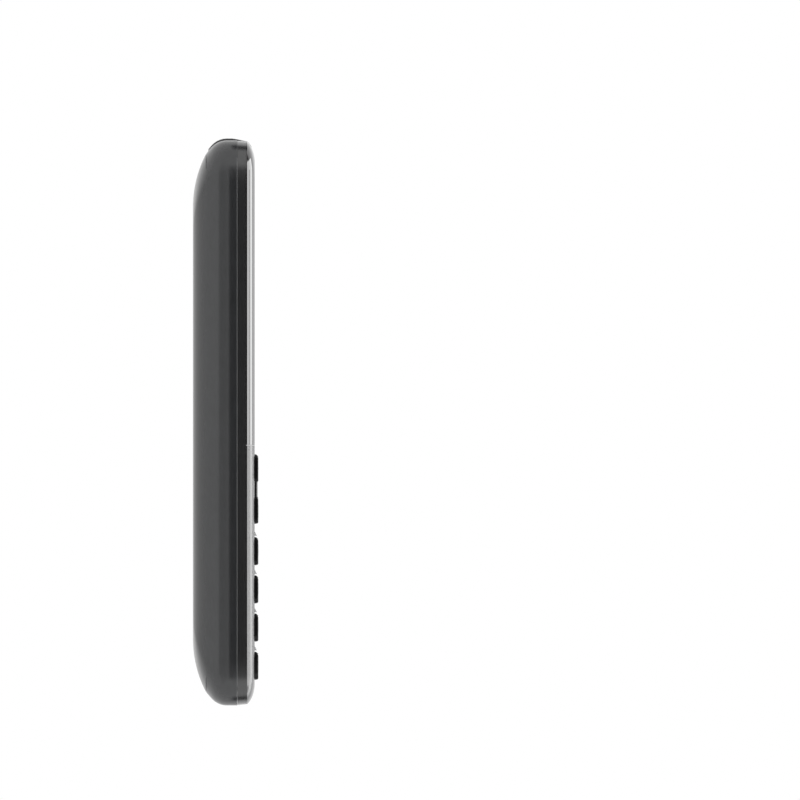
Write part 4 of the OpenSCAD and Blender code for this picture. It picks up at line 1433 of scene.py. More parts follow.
    def flared(self, name: str, x: float, z: float, radius: float) -> Shape:
        """Gives the cutter of the flare round a hole in the bottom end.

        Args:
            name: Name of the cutter.
            x: Middle of the hole across the phone.
            z: Its height.
            radius: Its radius.

        Returns:
            The cutter.
        """
        wide, depth, out = self.flare
        end = self.form.bottom_y
        flare = Shape.drum(name, (x, end, z), radius, depth, Axis.Y, Sides.HOLE)
        flare.pick_verts(lambda p: p.y < end)
        flare.resize((1.0 + wide / radius,) * 3, (x, end - depth / 2, z))
        return flare.edit().pick_verts(lambda p: True).move((0.0, -out, 0.0))

    def sound_slots(self) -> List[Shape]:
        """Gives the cutters of the loudspeaker's slots.

        Returns:
            The cutters, the first slot last.
        """
        x, y, length, pitch, count = self.slots
        slot = Shape.solid("cut_slot", [
            Ring(length / 2, self.slot_w / 2, self.slot_r, z, x, y - pitch * (count - 1) / 2)
            for z in (-0.5, self.wall + 0.6)], Corner.SLOT)
        return [slot.copy(f"cut_slot_{i}", (0.0, i * pitch, 0.0))
                for i in range(1, count)] + [slot]

    def tabs(self) -> List[Shape]:
        """Gives the six locating tabs inside the shell.

        Returns:
            The tabs.
        """
        form = self.form
        half_x, half_y = self.tab_half
        low, high = (form.seam_z - drop for drop in self.tab_z)
        tabs = []
        for side in (-1, 1):
            for step in self.tab_steps:
                x, y = side * (form.half_w - self.tab_in), form.mid_y + step
                tab = Shape.block(f"cover_tab_{side}_{step}", (x - half_x, y - half_y, low),
                                  (x + half_x, y + half_y, high))
                tabs.append(tab.pick_edges(lambda a, b: True).bevel(self.tab_r, 2))
        return tabs


@dataclass(frozen=True)
class Layout:
    """Places and sizes of the keys."""

    pitch_x: float = 13.8
    rows: Tuple[float, ...] = (-49.45, -41.7, -33.95, -26.2)
    call_y: float = -17.8
    soft_y: float = -9.4
    key: Tuple[float, float, float] = (11.4, 5.7, 1.5)
    fit: float = 0.15
    nav_y: float = -13.6
    nav: Tuple[float, float, float] = (11.2, 14.1, 4.0)

    def keys(self) -> Dict[str, Tuple[float, float, str]]:
        """Gives the place and the legend of every key.

        Returns:
            Place across, place along and figure of each key, by its name.
        """
        names = (("key_star", "key_0", "key_hash"), ("key_7", "key_8", "key_9"),
                 ("key_4", "key_5", "key_6"), ("key_1", "key_2", "key_3"))
        marks = ("*0#", "789", "456", "123")
        places = {}
        for y, row, legends in zip(self.rows, names, marks):
            for i, (name, mark) in enumerate(zip(row, legends)):
                places[name] = ((i - 1) * self.pitch_x, y, mark)
        pairs = (("call_key", -1, self.call_y), ("end_key", 1, self.call_y),
                 ("soft_key_left", -1, self.soft_y), ("soft_key_right", 1, self.soft_y))
        for name, side, y in pairs:
            places[name] = (side * self.pitch_x, y, "")
        return places


@dataclass(frozen=True)
class Front:
    """Front housing with its openings, and the window over the display.

    The cutters of the housing start at heights of their own, so that no two faces fall together.
    """

    form: BodyForm
    palette: Palette
    torch: Torch
    layout: Layout
    lens_y: float = -4.75
    plate_z: float = 11.3
    rail_z: float = 9.6
    seat: Point = (24.0, 59.0, 14.0)
    shell: Tuple[float, float, float] = (1.45, 4.55, 8.0)
    room: Tuple[float, float, float, float] = (2.49, 3.65, 3.5, 8.2)
    room_end: float = 1.2
    lcd: Tuple[float, float, float] = (17.5, 23.2, 23.7)
    lcd_cut: Tuple[float, float, float] = (0.8, 8.4, 11.5)
    ear_y: float = 50.2
    ear: Tuple[float, float] = (11.0, 1.4)
    ear_cut: Tuple[float, float, float, float] = (1.5, 0.5, 8.6, 11.5)
    ear_r: float = 0.68
    ear_flare: Tuple[float, float] = (0.3, 0.2)
    flare: Tuple[float, float] = (0.26, 0.16)
    past: float = 0.1
    torch_gap: float = 0.05
    lens_torch_gap: float = 0.18
    lens_foot: float = 0.07
    lens_gap: float = 0.06
    lens_r: float = 0.1
    rib: Tuple[float, float] = (0.9, 0.5)
    rib_in: float = 0.2
    rib_edge: float = 0.02
    rib_gap: float = 0.1
    rib_r: float = 0.12
    mesh: Tuple[float, float, float] = (0.7, 0.3, 0.4)
    mesh_holes: Tuple[int, int] = (26, 3)
    mesh_bar: float = 0.09
    mesh_t: float = 0.2

    def opening(self, name: str, half: Tuple[float, float], radius: float, y: float) -> Shape:
        """Gives the cutter of one opening in the key plate, flared at the front.

        Args:
            name: Name of the cutter.
            half: Half the opening's size across and along the phone.
            radius: Radius of its corners.
            y: Its middle along the phone.

        Returns:
            The cutter.
        """
        top, (hx, hy), (wide, drop) = self.form.top_z, half, self.flare
        return Shape.solid(name, [
            Ring(hx, hy, radius, self.plate_z - 1.0, 0.0, y),
            Ring(hx, hy, radius, top - drop, 0.0, y),
            Ring(hx + wide, hy + wide, radius + wide, top + self.past, 0.0, y)], Corner.OPENING)

    def well(self, name: str, half: Tuple[float, float], radius: float, y: float,
             span: Tuple[float, float]) -> Shape:
        """Gives a straight cutter on the phone's middle line, over a span of heights."""
        return Shape.solid(name, [Ring(*half, radius, z, 0.0, y) for z in span], Corner.OPENING)

    def holes(self) -> List[Shape]:
        """Gives the cutters of the openings for all keys.

        Returns:
            The cutters, the navigation ring's last.
        """
        lay = self.layout
        half = (lay.key[0] / 2 + lay.fit, lay.key[1] / 2 + lay.fit)
        pattern = self.opening("cut_key", half, lay.key[2] + lay.fit, 0.0)
        holes = [pattern.copy("cut_" + name, (x, y, 0.0))
                 for name, (x, y, _) in lay.keys().items()]
        pattern.remove()
        half = (lay.nav[0] / 2 + lay.fit, lay.nav[1] / 2 + lay.fit)
        return holes + [self.opening("cut_nav", half, lay.nav[2], lay.nav_y)]

    def build_housing(self) -> None:
        """Models the housing."""
        form = self.form
        housing = Shape.solid("front_housing_shell", form.front_rings(), Corner.BODY)
        x, y, z = self.seat
        housing.combine(Shape.block("cut_seat", (-x, self.lens_y, form.lens_z), (x, y, z)))
        inset, radius, low = self.shell
        housing.combine(self.well("cut_inside", (form.half_w - inset, form.half_l - inset), radius,
                                  form.mid_y, (low, self.rail_z)))
        in_x, in_y, radius, low = self.room
        room = self.well("cut_room", (form.half_w - in_x, form.half_l - in_y), radius,
                         form.mid_y, (low, self.plate_z))
        room.slice((0.0, self.lens_y - self.room_end, 0.0), (0.0, -1.0, 0.0))
        housing.combine(room)
        radius, low, high = self.lcd_cut
        housing.combine(self.well("cut_display", self.lcd[:2], radius, self.lcd[2], (low, high)))
        end, radius, low, high = self.ear_cut
        housing.combine(self.well("cut_ear", (self.ear[0] / 2 - end, self.ear[1] / 2), radius,
                                  self.ear_y, (low, high)))
        housing.combine(self.torch.cutter("cut_torch_housing", self.torch_gap))
        for hole in self.holes():
            housing.combine(hole)
        housing.take_in(self.ribs()).smooth(Shading.SHELL)
        housing.place("phone", "housing_black", self.palette.get("housing_black"),
                      "front_housing")

    def ribs(self) -> List[Shape]:
        """Models the ribs that rise towards the upper edge of each number key.

        Returns:
            One rib for each number key.
        """
        lay, top = self.layout, self.form.top_z
        length, height = self.rib
        half = lay.key[0] / 2 - lay.key[2] / 2
        rib = Shape.block("rib_pattern", (-half, 0.0, top - self.rib_in),
                          (half, length, top + height))
        rib.pick_verts(lambda p: p.z > top and p.y > length / 2)
        rib.move((0.0, 0.0, self.rib_edge - height))
        for side in (-1, 1):
            rib.pick_verts(lambda p: p.z > top + 0.1 and p.x * side > 0)
            rib.move((-side * height, 0.0, 0.0))
        rib.pick_edges(lambda a, b: all(p.z > top for p in (a, b))).bevel(self.rib_r, 3)
        edge = lay.key[1] / 2 + lay.fit + self.rib_gap
        ribs = [rib.copy("rib_" + name, (x, y + edge, 0.0))
                for name, (x, y, mark) in lay.keys().items() if mark]
        rib.remove()
        return ribs

    def build_lens(self) -> None:
        """Models the window, with its earpiece slot."""
        form = self.form
        bevel = form.bevel_rings()
        r, cut = bevel[0], self.lens_foot
        low = Ring(r.half_x - cut, r.half_y - cut, r.radius - cut, form.lens_z, r.x, r.y)
        foot = Ring(r.half_x, r.half_y, r.radius, form.lens_z + cut, r.x, r.y)
        lens = Shape.solid("screen_window", [low, foot, *bevel], Corner.BODY)
        edge = self.lens_y + self.lens_gap
        lens.slice((0.0, edge, 0.0), (0.0, 1.0, 0.0))
        lens.pick_edges(lambda a, b: all(
            abs(p.y - edge) < NEAR and p.z > form.lens_z + 0.1
            for p in (a, b))).bevel(self.lens_r, 3)
        lens.combine(self.ear_slot())
        lens.combine(self.torch.cutter("cut_torch_lens", self.lens_torch_gap))
        lens.smooth(Shading.SHELL)
        lens.place("phone", "lens_black", self.palette.get("lens_black"), "display_lens")

    def ear_slot(self) -> Shape:
        """Gives the cutter of the earpiece slot, flared at the front.

        Returns:
            The cutter.
        """
        form, y = self.form, self.ear_y
        hx, hy = self.ear[0] / 2, self.ear[1] / 2
        wide, drop = self.ear_flare
        return Shape.solid("cut_ear_slot", [
            Ring(hx, hy, self.ear_r, form.lens_z - 0.5, 0.0, y),
            Ring(hx, hy, self.ear_r, form.top_z - drop, 0.0, y),
            Ring(hx + wide, hy + wide, self.ear_r + wide, form.top_z + self.past, 0.0, y)],
            Corner.KEY)

    def build_ear_mesh(self) -> None:
        """Models the drilled sheet behind the earpiece slot."""
        Shape.clear()
        in_x, in_y, up = self.mesh
        across, along = self.mesh_holes
        centre = (0.0, self.ear_y, self.form.lens_z + up)
        bpy.ops.mesh.primitive_grid_add(x_subdivisions=across, y_subdivisions=along, size=1.0,
                                        location=metres(centre))
        sheet = Shape.adopt("earpiece_grille")
        sheet.resize(((self.ear[0] - in_x) * MM, (self.ear[1] - in_y) * MM, 1.0), centre)
        sheet.pick_faces(lambda c, n: True).inset(self.mesh_bar, each=True).erase_faces()
        sheet.thicken(self.mesh_t).smooth(Shading.FITTING)
        sheet.place("phone", "mesh_steel", self.palette.get("mesh_steel"), "earpiece_mesh")

    def build(self) -> None:
        """Models the housing, the window and the earpiece sheet."""
        self.build_housing()
        self.build_lens()
        self.build_ear_mesh()


@dataclass
class Printed:
    """A mark printed on a key."""

    shape: Shape
    ink: bpy.types.Material

    def place(self, body: str) -> None:
        """Inks the mark and rides it on its key.

        Args:
            body: Key that the mark moves with.
        """
        Shape.clear()
        self.shape.obj.data.materials.clear()
        self.shape.obj.data.materials.append(self.ink)
        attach(self.shape.obj, body)
        LOG.info("%s is printed on %s", self.shape.obj.name, body)


@dataclass(frozen=True)
class Keypad:
    """Sixteen keys, the navigation ring and the middle key.

    Each dish lists, from the rim to the middle, the inset of a ring, what its corners lose in
    radius, and its depth under the top.
    """

    palette: Palette
    layout: Layout
    flange: Tuple[float, float] = (10.75, 11.25)
    flange_w: float = 0.4
    flange_step: float = 0.002
    plunger: Tuple[float, float] = (1.2, 9.0)
    plunger_r: float = 0.2
    plunger_in: float = 0.05
    key_top: float = 13.27
    key_r: float = 0.22
    leads: Tuple[float, float] = (0.4, 0.8)
    lead_z: float = 12.9
    figure: float = 3.1
    star: float = 4.4
    print_in: float = 0.016
    print_t: float = 0.04
    handset: Tuple[float, float, float, float] = (1.55, 0.3, 0.28, 0.1)
    handset_end: Tuple[float, float, float, float] = (0.5, 0.3, 1.15, 0.45)
    handset_turn: Tuple[float, float] = (math.radians(40.0), 0.3)
    dash_size: Tuple[float, float, float] = (1.3, 0.22, 0.2)
    nav_flange: Tuple[float, float] = (10.45, 10.85)
    nav_top: float = 13.0
    nav_dish: Tuple[Point, ...] = ((0.0, 0.0, 0.3), (0.12, 0.12, 0.1), (0.4, 0.4, 0.0),
                                   (0.9, 0.9, 0.03), (2.6, 2.0, 0.25))
    nav_pin: Tuple[float, float, float] = (0.4, 1.6, 1.4)
    ok: Tuple[float, float, float] = (2.75, 1.5, 13.1)
    ok_dish: Tuple[Point, ...] = ((0.0, 0.0, 0.3), (0.1, 0.1, 0.08), (0.32, 0.32, 0.0),
                                  (0.7, 0.6, 0.03), (1.5, 0.9, 0.12))
    ok_hole: Tuple[float, float] = (3.05, 1.8)
    ok_flare: Tuple[float, float, float] = (0.5, 0.4, 0.1)

    def stem(self, name: str, y: float, high: float) -> Shape:
        """Gives the plunger under a key.

        Args:
            name: Name of the plunger.
            y: Its middle along the phone.
            high: Height of its upper end.

        Returns:
            The plunger.
        """
        r, low = self.plunger
        stem = Shape.drum(name, (0.0, y, (low + high) / 2), r, high - low, Axis.Z, Sides.STEM)
        stem.pick_edges(lambda a, b: all(p.z < low + NEAR for p in (a, b)))
        return stem.bevel(self.plunger_r, 3)

    def foot(self, half: Tuple[float, float], radius: float, span: Tuple[float, float],
             y: float) -> List[Ring]:
        """Gives the rings of a cap's flange, and the first of the cap above it.

        Args:
            half: Half the cap's size across and along the phone.
            radius: Radius of its corners.
            span: Lower and upper height of the flange.
            y: Middle of the cap along the phone.

        Returns:
            The rings, from below.
        """
        (hx, hy), f = half, self.flange_w
        return [*(Ring(hx + f, hy + f, radius, z, 0.0, y) for z in span),
                Ring(hx, hy, radius, span[1] + self.flange_step, 0.0, y)]

    @staticmethod
    def dished(half: Tuple[float, float], radius: float, top: float, y: float,
               dish: Sequence[Point]) -> List[Ring]:
        """Gives the rings of a cap's rounded rim and of the dish in it.

        Args:
            half: Half the cap's size across and along the phone.
            radius: Radius of its corners.
            top: Height of its highest ring.
            y: Middle of the cap along the phone.
            dish: Steps of the dish.

        Returns:
            The rings, from the rim to the middle.
        """
        return [Ring(half[0] - inset, half[1] - inset, radius - less, top - drop, 0.0, y)
                for inset, less, drop in dish]

    def pattern(self) -> Shape:
        """Models one key at the origin, with its upper and lower edge sloped.

        Returns:
            The key.
        """
        w, length, r = self.layout.key
        hx, hy = w / 2, length / 2
        rings = [*self.foot((hx, hy), r, self.flange, 0.0), Ring(hx, hy, r, self.key_top)]
        key = Shape.solid("key_pattern", rings, Corner.KEY)
        drop = self.key_top - self.lead_z
        for side, lead in zip((-1, 1), self.leads):
            key.slice((0.0, side * hy, self.lead_z), (0.0, -side * drop, -lead))
        key.pick_edges(lambda a, b: all(p.z > self.lead_z - 0.02 for p in (a, b)))
        key.bevel(self.key_r, 4)
        return key.take_in([self.stem("key_stem", 0.0, self.flange[0] + self.plunger_in)])

    def legend(self, name: str, mark: str, x: float, y: float) -> Shape:
        """Prints a figure on a key.

        Args:
            name: Name of the figure.
            mark: The figure.
            x: Middle of the key across the phone.
            y: Its middle along the phone.

        Returns:
            The figure.
        """
        Shape.clear()
        middle = self.key_top - self.print_in + self.print_t / 2
        bpy.ops.object.text_add(location=metres((x, y, middle)))
        text = bpy.context.object
        text.data.body = mark
        text.data.size = (self.star if mark == "*" else self.figure) * MM
        text.data.align_x = "CENTER"
        text.data.align_y = "CENTER"
        text.data.extrude = self.print_t / 2 * MM
        bpy.ops.object.convert(target="MESH")
        return Shape.adopt(name)

    def flat(self, name: str, half: Tuple[float, float], radius: float, x: float,
             y: float) -> Shape:
        """Prints a rounded rectangle on a key.

        Args:
            name: Name of the mark.
            half: Half its size across and along the phone.
            radius: Radius of its corners.
            x: Its middle across the phone.
            y: Its middle along the phone.

        Returns:
            The mark.
        """
        ring = Ring(*half, radius, self.key_top - self.print_in, x, y)
        mark = Shape.plate(name, ring, Corner.MARK).pick_faces(lambda c, n: True)
        return mark.extrude((0.0, 0.0, self.print_t)).outward()

    def icon(self, name: str, x: float, y: float, lift: bool) -> Shape:
        """Prints a handset on a call key, lifted or laid down.

        Args:
            name: Name of the mark.
            x: Middle of the key across the phone.
            y: Its middle along the phone.
            lift: Whether the handset is lifted.

        Returns:
            The mark.
        """
        hx, hy, radius, drop = self.handset
        bar = self.flat(name, (hx, hy), radius, x, y - drop)
        half, radius, reach, drop = self.handset_end
        bar.take_in([self.flat(name + "_end", (half, half), radius, x + reach * side, y - drop)
                     for side in (-1, 1)])
        if lift:
            turn, drop = self.handset_turn
            bar.edit().pick_verts(lambda p: True)
            bpy.ops.transform.rotate(
                value=turn, orient_axis="Z",
                center_override=metres((x, y - drop, self.key_top - self.print_in)))
        return bar

    def dash(self, name: str, x: float, y: float) -> Shape:
        """Prints a short line on a soft key."""
        hx, hy, radius = self.dash_size
        return self.flat(name, (hx, hy), radius, x, y)

    def build_keys(self) -> None:
        """Models the keys and what is printed on them."""
        pattern = self.pattern()
        black = self.palette.get("key_black")
        for name, (x, y, mark) in self.layout.keys().items():
            key = pattern.copy(name + "_cap", (x, y, 0.0)).smooth(Shading.ROUND)
            key.place(name, "key_black", black, name)
            tint = "legend_white"
            if mark:
                shape = self.legend(name + "_figure", mark, x, y)
            elif name == "call_key":
                shape, tint = self.icon(name + "_icon", x, y, True), "legend_green"
            elif name == "end_key":
                shape, tint = self.icon(name + "_icon", x, y, False), "legend_red"
            else:
                shape = self.dash(name + "_line", x, y)
            Printed(shape, self.palette.get(tint)).place(name)
        pattern.remove()

    def build_ring(self) -> None:
        """Models the navigation ring, dished towards its middle."""
        w, length, r = self.layout.nav
        y, half, low = self.layout.nav_y, (w / 2, length / 2), self.nav_flange[0]
        ring = Shape.solid("nav_ring_cap", [
            *self.foot(half, r, self.nav_flange, y),
            *self.dished(half, r, self.nav_top, y, self.nav_dish)], Corner.RING)
        hole, radius = self.ok_hole
        wide, drop, past = self.ok_flare
        ring.combine(Shape.solid("cut_ok", [
            Ring(hole, hole, radius, low - 0.5, 0.0, y),
            Ring(hole, hole, radius, self.nav_top - drop, 0.0, y),
            Ring(hole + wide, hole + wide, radius + wide, self.nav_top + past, 0.0, y)],
            Corner.KEY))
        pin, reach, out = self.nav_pin
        ring.take_in([Shape.drum(f"nav_pin_{side}", (side * (hole + out), y, low), pin, reach,
                                 Axis.X, Sides.PIN) for side in (-1, 1)])
        ring.smooth(Shading.ROUND)
        ring.place("nav_ring", "key_gloss", self.palette.get("key_gloss"), "nav_ring")

    def build_ok(self) -> None:
        """Models the middle key, with a shallow dish."""
        half, r, top = self.ok
        y, low = self.layout.nav_y, self.nav_flange[0]
        key = Shape.solid("ok_key_cap", [
            Ring(half, half, r, low, 0.0, y),
            *self.dished((half, half), r, top, y, self.ok_dish)], Corner.KEY)
        key.take_in([self.stem("ok_stem", y, low + self.plunger_in)]).smooth(Shading.ROUND)
        key.place("ok_key", "key_black", self.palette.get("key_black"), "ok_key")

    def build(self) -> None:
        """Models all keys."""
        self.build_keys()
        self.build_ring()
        self.build_ok()


@dataclass(frozen=True)
class Connectors:
    """Small pieces that show inside the openings of the bottom end."""

    palette: Palette
    usb: Tuple[float, float] = (-0.5, 7.05)
    usb_half: Tuple[float, float] = (3.75, 1.2)
    usb_cut: float = 0.75
    usb_y: Tuple[float, float, float] = (-56.1, -53.6, -51.2)
    sheet: float = 0.16
    sheet_r: float = 0.04
    play: float = 0.02
    insert_dish: Tuple[float, float] = (0.25, 0.2)
    jack: Tuple[float, float, float] = (-8.5, 6.0, 0.4)
    leaf_z: Tuple[float, float, float] = (1.3, 1.75, 0.1)
    leaf_out: float = 0.6
    leaf_r: float = 0.12
    mic: Tuple[float, float, float] = (-15.4, -55.2, 7.5)
    screen: Tuple[float, float] = (0.58, 0.16)
    screen_dish: Tuple[float, float] = (0.1, 0.05)

    def usb_block(self, name: str, inset: float, low: float, high: float) -> Shape:
        """Gives a block in the USB shell's form, its two upper edges cut off.

        Args:
            name: Name of the block.
            inset: How far it is set in from the shell's outside.
            low: Its end towards the outside.
            high: Its end towards the inside.

        Returns:
            The block.
        """
        (x, z), (hx, hz) = self.usb, (size - inset for size in self.usb_half)
        block = Shape.block(name, (x - hx, low, z - hz), (x + hx, high, z + hz))
        return block.cut_upper_edges(x, z, hx, self.usb_cut)

    def build_usb(self) -> None:
        """Models the USB shell and the block behind its contacts."""
        low, step, high = self.usb_y
        shell = self.usb_block("usb_can", 0.0, low, high)
        shell.pick_outer_end().erase_faces()
        shell.thicken(self.sheet).soften(self.sheet_r, 2).smooth(Shading.FITTING)
        shell.place("phone", "steel", self.palette.get("steel"), "usb_shell")
        block = self.usb_block("usb_insert", self.sheet + self.play, step,
                               high - self.sheet - self.play)
        rim, deep = self.insert_dish
        block.pick_outer_end().inset(rim).move((0.0, deep, 0.0))
        block.smooth(Shading.FITTING)
        block.place("phone", "connector_black", self.palette.get("connector_black"))

    def build_leaf(self) -> None:
        """Models one contact leaf of the jack."""
        end, back, _ = self.usb_y
        x, z, width = self.jack
        low, high, bend = self.leaf_z
        leaf = Shape.block("jack_leaf", (x - width, end - self.leaf_out, z + low),
                           (x + width, back, z + high))
        leaf.pick_verts(lambda p: p.y < end).move((0.0, 0.0, bend))
        leaf.pick_edges(lambda a, b: all(p.y < end for p in (a, b))).bevel(self.leaf_r, 3)
        leaf.smooth(Shading.FITTING).place("phone", "steel", self.palette.get("steel"))

    def build_screen(self) -> None:
        """Models the screen over the microphone."""
        radius, depth = self.screen
        rim, deep = self.screen_dish
        screen = Shape.drum("mic_screen", self.mic, radius, depth, Axis.Y, Sides.STEM)
        screen.pick_outer_end().inset(rim).move((0.0, deep, 0.0))
        screen.smooth(Shading.FITTING)
        screen.place("phone", "mesh_black", self.palette.get("mesh_black"))

    def build(self) -> None:
        """Models all pieces of the bottom end."""
        self.build_usb()
        self.build_leaf()
        self.build_screen()


@dataclass
class Inside:
    """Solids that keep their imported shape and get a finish."""

    nodes: Dict[str, bpy.types.Object]
    record: Dict[str, object]
    palette: Palette

    def dress(self) -> None:
        """Gives every solid the material of its slot."""
        for part in self.record["subparts"]:
            solid = self.nodes[part["node"]]
            solid.data.materials.clear()
            solid.data.materials.append(self.palette.get(part["material_slot"]))


@dataclass(frozen=True)
class Studio:
    """White surroundings, a pale floor, one large soft light, glowing cards that show only in the
    phone's gloss as painted reflections, and the camera.
    """

    ambient: float = 0.15
    floor_tone: float = 0.9
    floor_size: float = 4.0
    floor_drop: float = 0.0002
    light_power: float = 15.4
    light_size: float = 1.3
    light_place: Point = (0.0, -0.25, 1.0)
    # Dark cards that glow and show only in the phone's gloss: painted dark reflections on its
    # surfaces.
    card_tone: float = 0.08
    side_card: Tuple[float, float, float, float] = (0.035, 0.058, 0.0027, 0.032)
    end_card: Tuple[float, float, float, float] = (0.147, 0.03, 0.0, 0.25)
    top_card: Point = (0.04, 0.08, 0.985)
    # Grey cards on the floor beside the phone, seen only in its gloss: painted shade of the floor
    # near the phone.
    floor_shade_card: Tuple[float, float, float] = (0.027, 0.038, 0.0004)
    floor_shade_tone: float = 0.6
    fade: Tuple[float, float] = (0.009, 0.018)
    frame_width: float = 0.16227
    centre_y: float = 0.00446
    centre_z: float = 0.0420
    distance: float = 1.5
    clip: Tuple[float, float] = (0.01, 10.0)

    def build_world(self) -> None:
        """Sets white behind the object and in its reflections, and a plain level of light."""
        world = bpy.data.worlds.new("surroundings")
        bpy.context.scene.world = world
        world.use_nodes = True
        tree = world.node_tree
        tree.nodes.clear()
        path = tree.nodes.new("ShaderNodeLightPath")
        seen = tree.nodes.new("ShaderNodeMath")
        seen.operation = "MAXIMUM"
        tree.links.new(path.outputs["Is Camera Ray"], seen.inputs[0])
        tree.links.new(path.outputs["Is Glossy Ray"], seen.inputs[1])
        either = tree.nodes.new("ShaderNodeMath")
        either.operation = "MAXIMUM"
        tree.links.new(seen.outputs["Value"], either.inputs[0])
        tree.links.new(path.outputs["Is Transmission Ray"], either.inputs[1])
        white = tree.nodes.new("ShaderNodeBackground")
        white.inputs["Color"].default_value = (1.0, 1.0, 1.0, 1.0)
        white.inputs["Strength"].default_value = 1.0
        lit = tree.nodes.new("ShaderNodeBackground")
        lit.inputs["Color"].default_value = (1.0, 1.0, 1.0, 1.0)
        lit.inputs["Strength"].default_value = self.ambient
        mix = tree.nodes.new("ShaderNodeMixShader")
        tree.links.new(either.outputs["Value"], mix.inputs["Fac"])
        tree.links.new(lit.outputs["Background"], mix.inputs[1])
        tree.links.new(white.outputs["Background"], mix.inputs[2])
        out = tree.nodes.new("ShaderNodeOutputWorld")
        tree.links.new(mix.outputs["Shader"], out.inputs["Surface"])

    def build_floor(self) -> None:
        """Lays a pale floor just under the phone that keeps its shadow."""
        Shape.clear()
        bpy.ops.mesh.primitive_plane_add(size=self.floor_size,
                                         location=(0.0, 0.0, -self.floor_drop))
        floor = bpy.context.object
        floor.name = "floor"
        nodes = Nodes("floor")
        nodes.tree.nodes.remove(nodes.shader)
        path = nodes.add("ShaderNodeLightPath")
        plain = nodes.add("ShaderNodeBsdfDiffuse")
        plain.inputs["Color"].default_value = (self.floor_tone,) * 3 + (1.0,)
        white = nodes.add("ShaderNodeEmission")
        white.inputs["Strength"].default_value = 1.0
        seen = nodes.sum("MAXIMUM", path.outputs["Is Glossy Ray"],
                         path.outputs["Is Transmission Ray"])
        first = nodes.add("ShaderNodeMixShader")
        nodes.wire(seen, first.inputs["Fac"])
        nodes.wire(plain.outputs["BSDF"], first.inputs[1])
        nodes.wire(white.outputs["Emission"], first.inputs[2])
        clear = nodes.add("ShaderNodeBsdfTransparent")
        back = nodes.add("ShaderNodeNewGeometry")
        second = nodes.add("ShaderNodeMixShader")
        nodes.wire(back.outputs["Backfacing"], second.inputs["Fac"])
        nodes.wire(first.outputs["Shader"], second.inputs[1])
        nodes.wire(clear.outputs["BSDF"], second.inputs[2])
        nodes.show(second.outputs["Shader"])
        floor.data.materials.append(nodes.material)

    def build_light(self) -> None:
        """Hangs one large soft light over the phone."""
        Shape.clear()
        bpy.ops.object.light_add(type="AREA", location=self.light_place)
        light = bpy.context.object
        light.name = "soft_light"
        light.data.shape = "SQUARE"
        light.data.size = self.light_size
        light.data.energy = self.light_power
        light.visible_camera = False

    def card_finish(self, name: str, axis: Axis, half: float, fade: float,
                    tone: float) -> bpy.types.Material:
        """Gives the glowing finish of a card that shows only in the phone's gloss, a painted
        reflection, and pales towards two of its edges.

        Args:
            name: Name of the finish.
            axis: Axis along which it pales.
            half: Half the card's length along it.
            fade: Length over which it pales.
            tone: Tone of its middle, where 1 is white.

        Returns:
            The material.
        """
        nodes = Nodes(name)
        nodes.tree.nodes.remove(nodes.shader)
        along = nodes.sum("ABSOLUTE", nodes.split().outputs[axis.name], 0.0)
        glow = nodes.add("ShaderNodeEmission")
        glow.inputs["Color"].default_value = (1.0, 1.0, 1.0, 1.0)
        nodes.wire(nodes.spread(along, tone, 1.0, half - fade, half), glow.inputs["Strength"])
        nodes.show(glow.outputs["Emission"])
        return nodes.material

    def build_card(self, name: str, place: Point, size: Tuple[float, float], turn: Point,
                   finish: bpy.types.Material) -> None:
        """Sets one card that shows only in the gloss of the phone.

        Args:
            name: Name of the card.
            place: Middle of the card.
            size: Its width across and along, before it is turned.
            turn: Its turn about each axis.
            finish: Material of the card.
        """
        Shape.clear()
        bpy.ops.mesh.primitive_plane_add(size=1.0, location=place, rotation=turn)
        card = bpy.context.object
        card.name = name
        card.scale = (*size, 1.0)
        bpy.ops.object.transform_apply(location=True, rotation=True, scale=True)
        card.data.materials.append(finish)
        card.visible_camera = False
        card.visible_diffuse = False
        card.visible_transmission = False
        card.visible_shadow = False

    def build_cards(self) -> None:
        """Sets dark cards round and over the phone and grey ones on the floor beside it. All glow
        and show only in its gloss as painted reflections, the grey ones a painted shade of the
        floor near the phone.
        """
        quarter = math.pi / 2
        # Side cards: painted dark reflections along the phone's sides.
        far, half, low, high = self.side_card
        middle, size = (low + high) / 2, (high - low, 2 * half)
        dark = self.card_finish("side_card", Axis.Y, half, self.fade[0], self.card_tone)
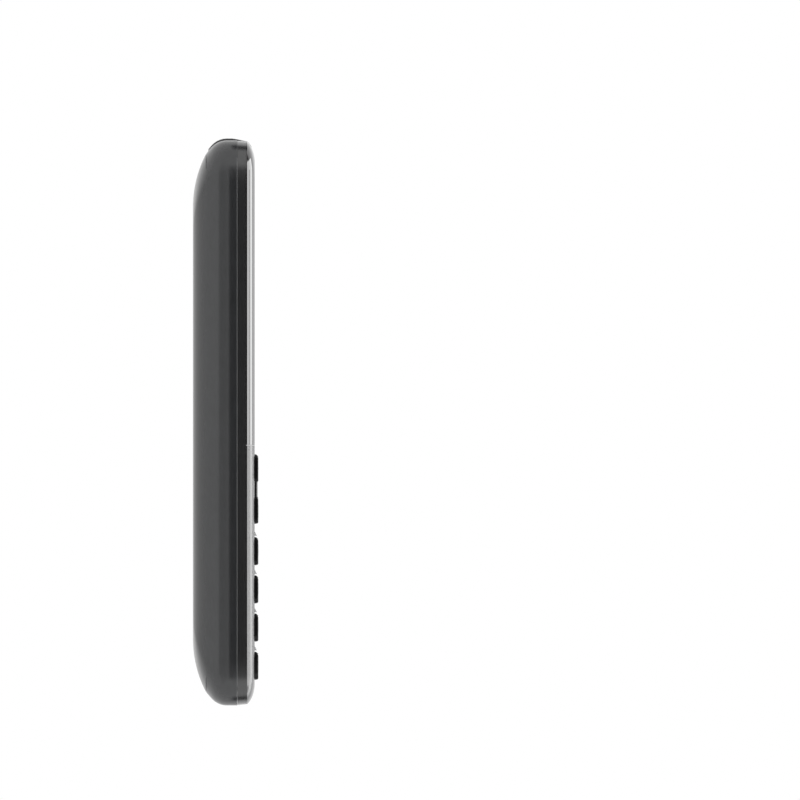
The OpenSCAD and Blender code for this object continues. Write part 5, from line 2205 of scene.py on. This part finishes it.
        # The grey floor cards paint the floor's shade near the phone into its reflections.
        near, out, level = self.floor_shade_card
        grey = self.card_finish("floor_shade_card", Axis.Y, half, self.fade[0], self.floor_shade_tone)
        for side in (-1, 1):
            self.build_card(f"side_card_{side + 2}", (side * far, 0.0, middle), size,
                            (0.0, quarter, 0.0), dark)
            self.build_card(f"floor_shade_card_{side + 2}", (side * (near + out) / 2, 0.0, level),
                            (out - near, 2 * half), (0.0, 0.0, 0.0), grey)
        # End and top cards: painted dark reflections on the ends and over the front.
        far, half, low, high = self.end_card
        middle, size = (low + high) / 2, (high - low, 2 * half)
        dark = self.card_finish("end_card", Axis.X, half, self.fade[1], self.card_tone)
        for side in (-1, 1):
            self.build_card(f"end_card_{side + 2}", (0.0, side * far, middle), size,
                            (0.0, quarter, quarter), dark)
        half_x, half_y, z = self.top_card
        dark = self.card_finish("top_card", Axis.Y, half_y, self.fade[1], self.card_tone)
        self.build_card("top_card", (0.0, 0.0, z), (2 * half_x, 2 * half_y), (0.0, 0.0, 0.0), dark)

    def build_camera(self) -> None:
        """Sets the camera square on to the phone's left side."""
        camera = bpy.data.cameras.new("camera")
        camera.type = "ORTHO"
        camera.ortho_scale = self.frame_width
        camera.clip_start, camera.clip_end = self.clip
        holder = bpy.data.objects.new("camera", camera)
        bpy.context.scene.collection.objects.link(holder)
        holder.matrix_world = Matrix((
            (0.0, 0.0, -1.0, -self.distance), (0.0, 1.0, 0.0, self.centre_y),
            (1.0, 0.0, 0.0, self.centre_z), (0.0, 0.0, 0.0, 1.0)))
        bpy.context.scene.camera = holder
        bpy.context.scene.view_settings.view_transform = "Standard"

    def build(self) -> None:
        """Sets the whole stage."""
        self.build_world()
        self.build_floor()
        self.build_light()
        self.build_cards()
        self.build_camera()


def main() -> None:
    """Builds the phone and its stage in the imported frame."""
    logging.basicConfig(level=logging.INFO, format="%(name)s: %(message)s")
    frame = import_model()
    palette = Palette()
    form = BodyForm()
    torch = Torch(form, palette)
    layout = Layout()
    Inside(frame["nodes"], frame["record"], palette).dress()
    RearCover(form, palette, torch).build()
    Front(form, palette, torch, layout).build()
    Keypad(palette, layout).build()
    torch.build()
    Connectors(palette).build()
    Studio().build()
    Shape.clear()


if __name__ == "__main__":
    main()
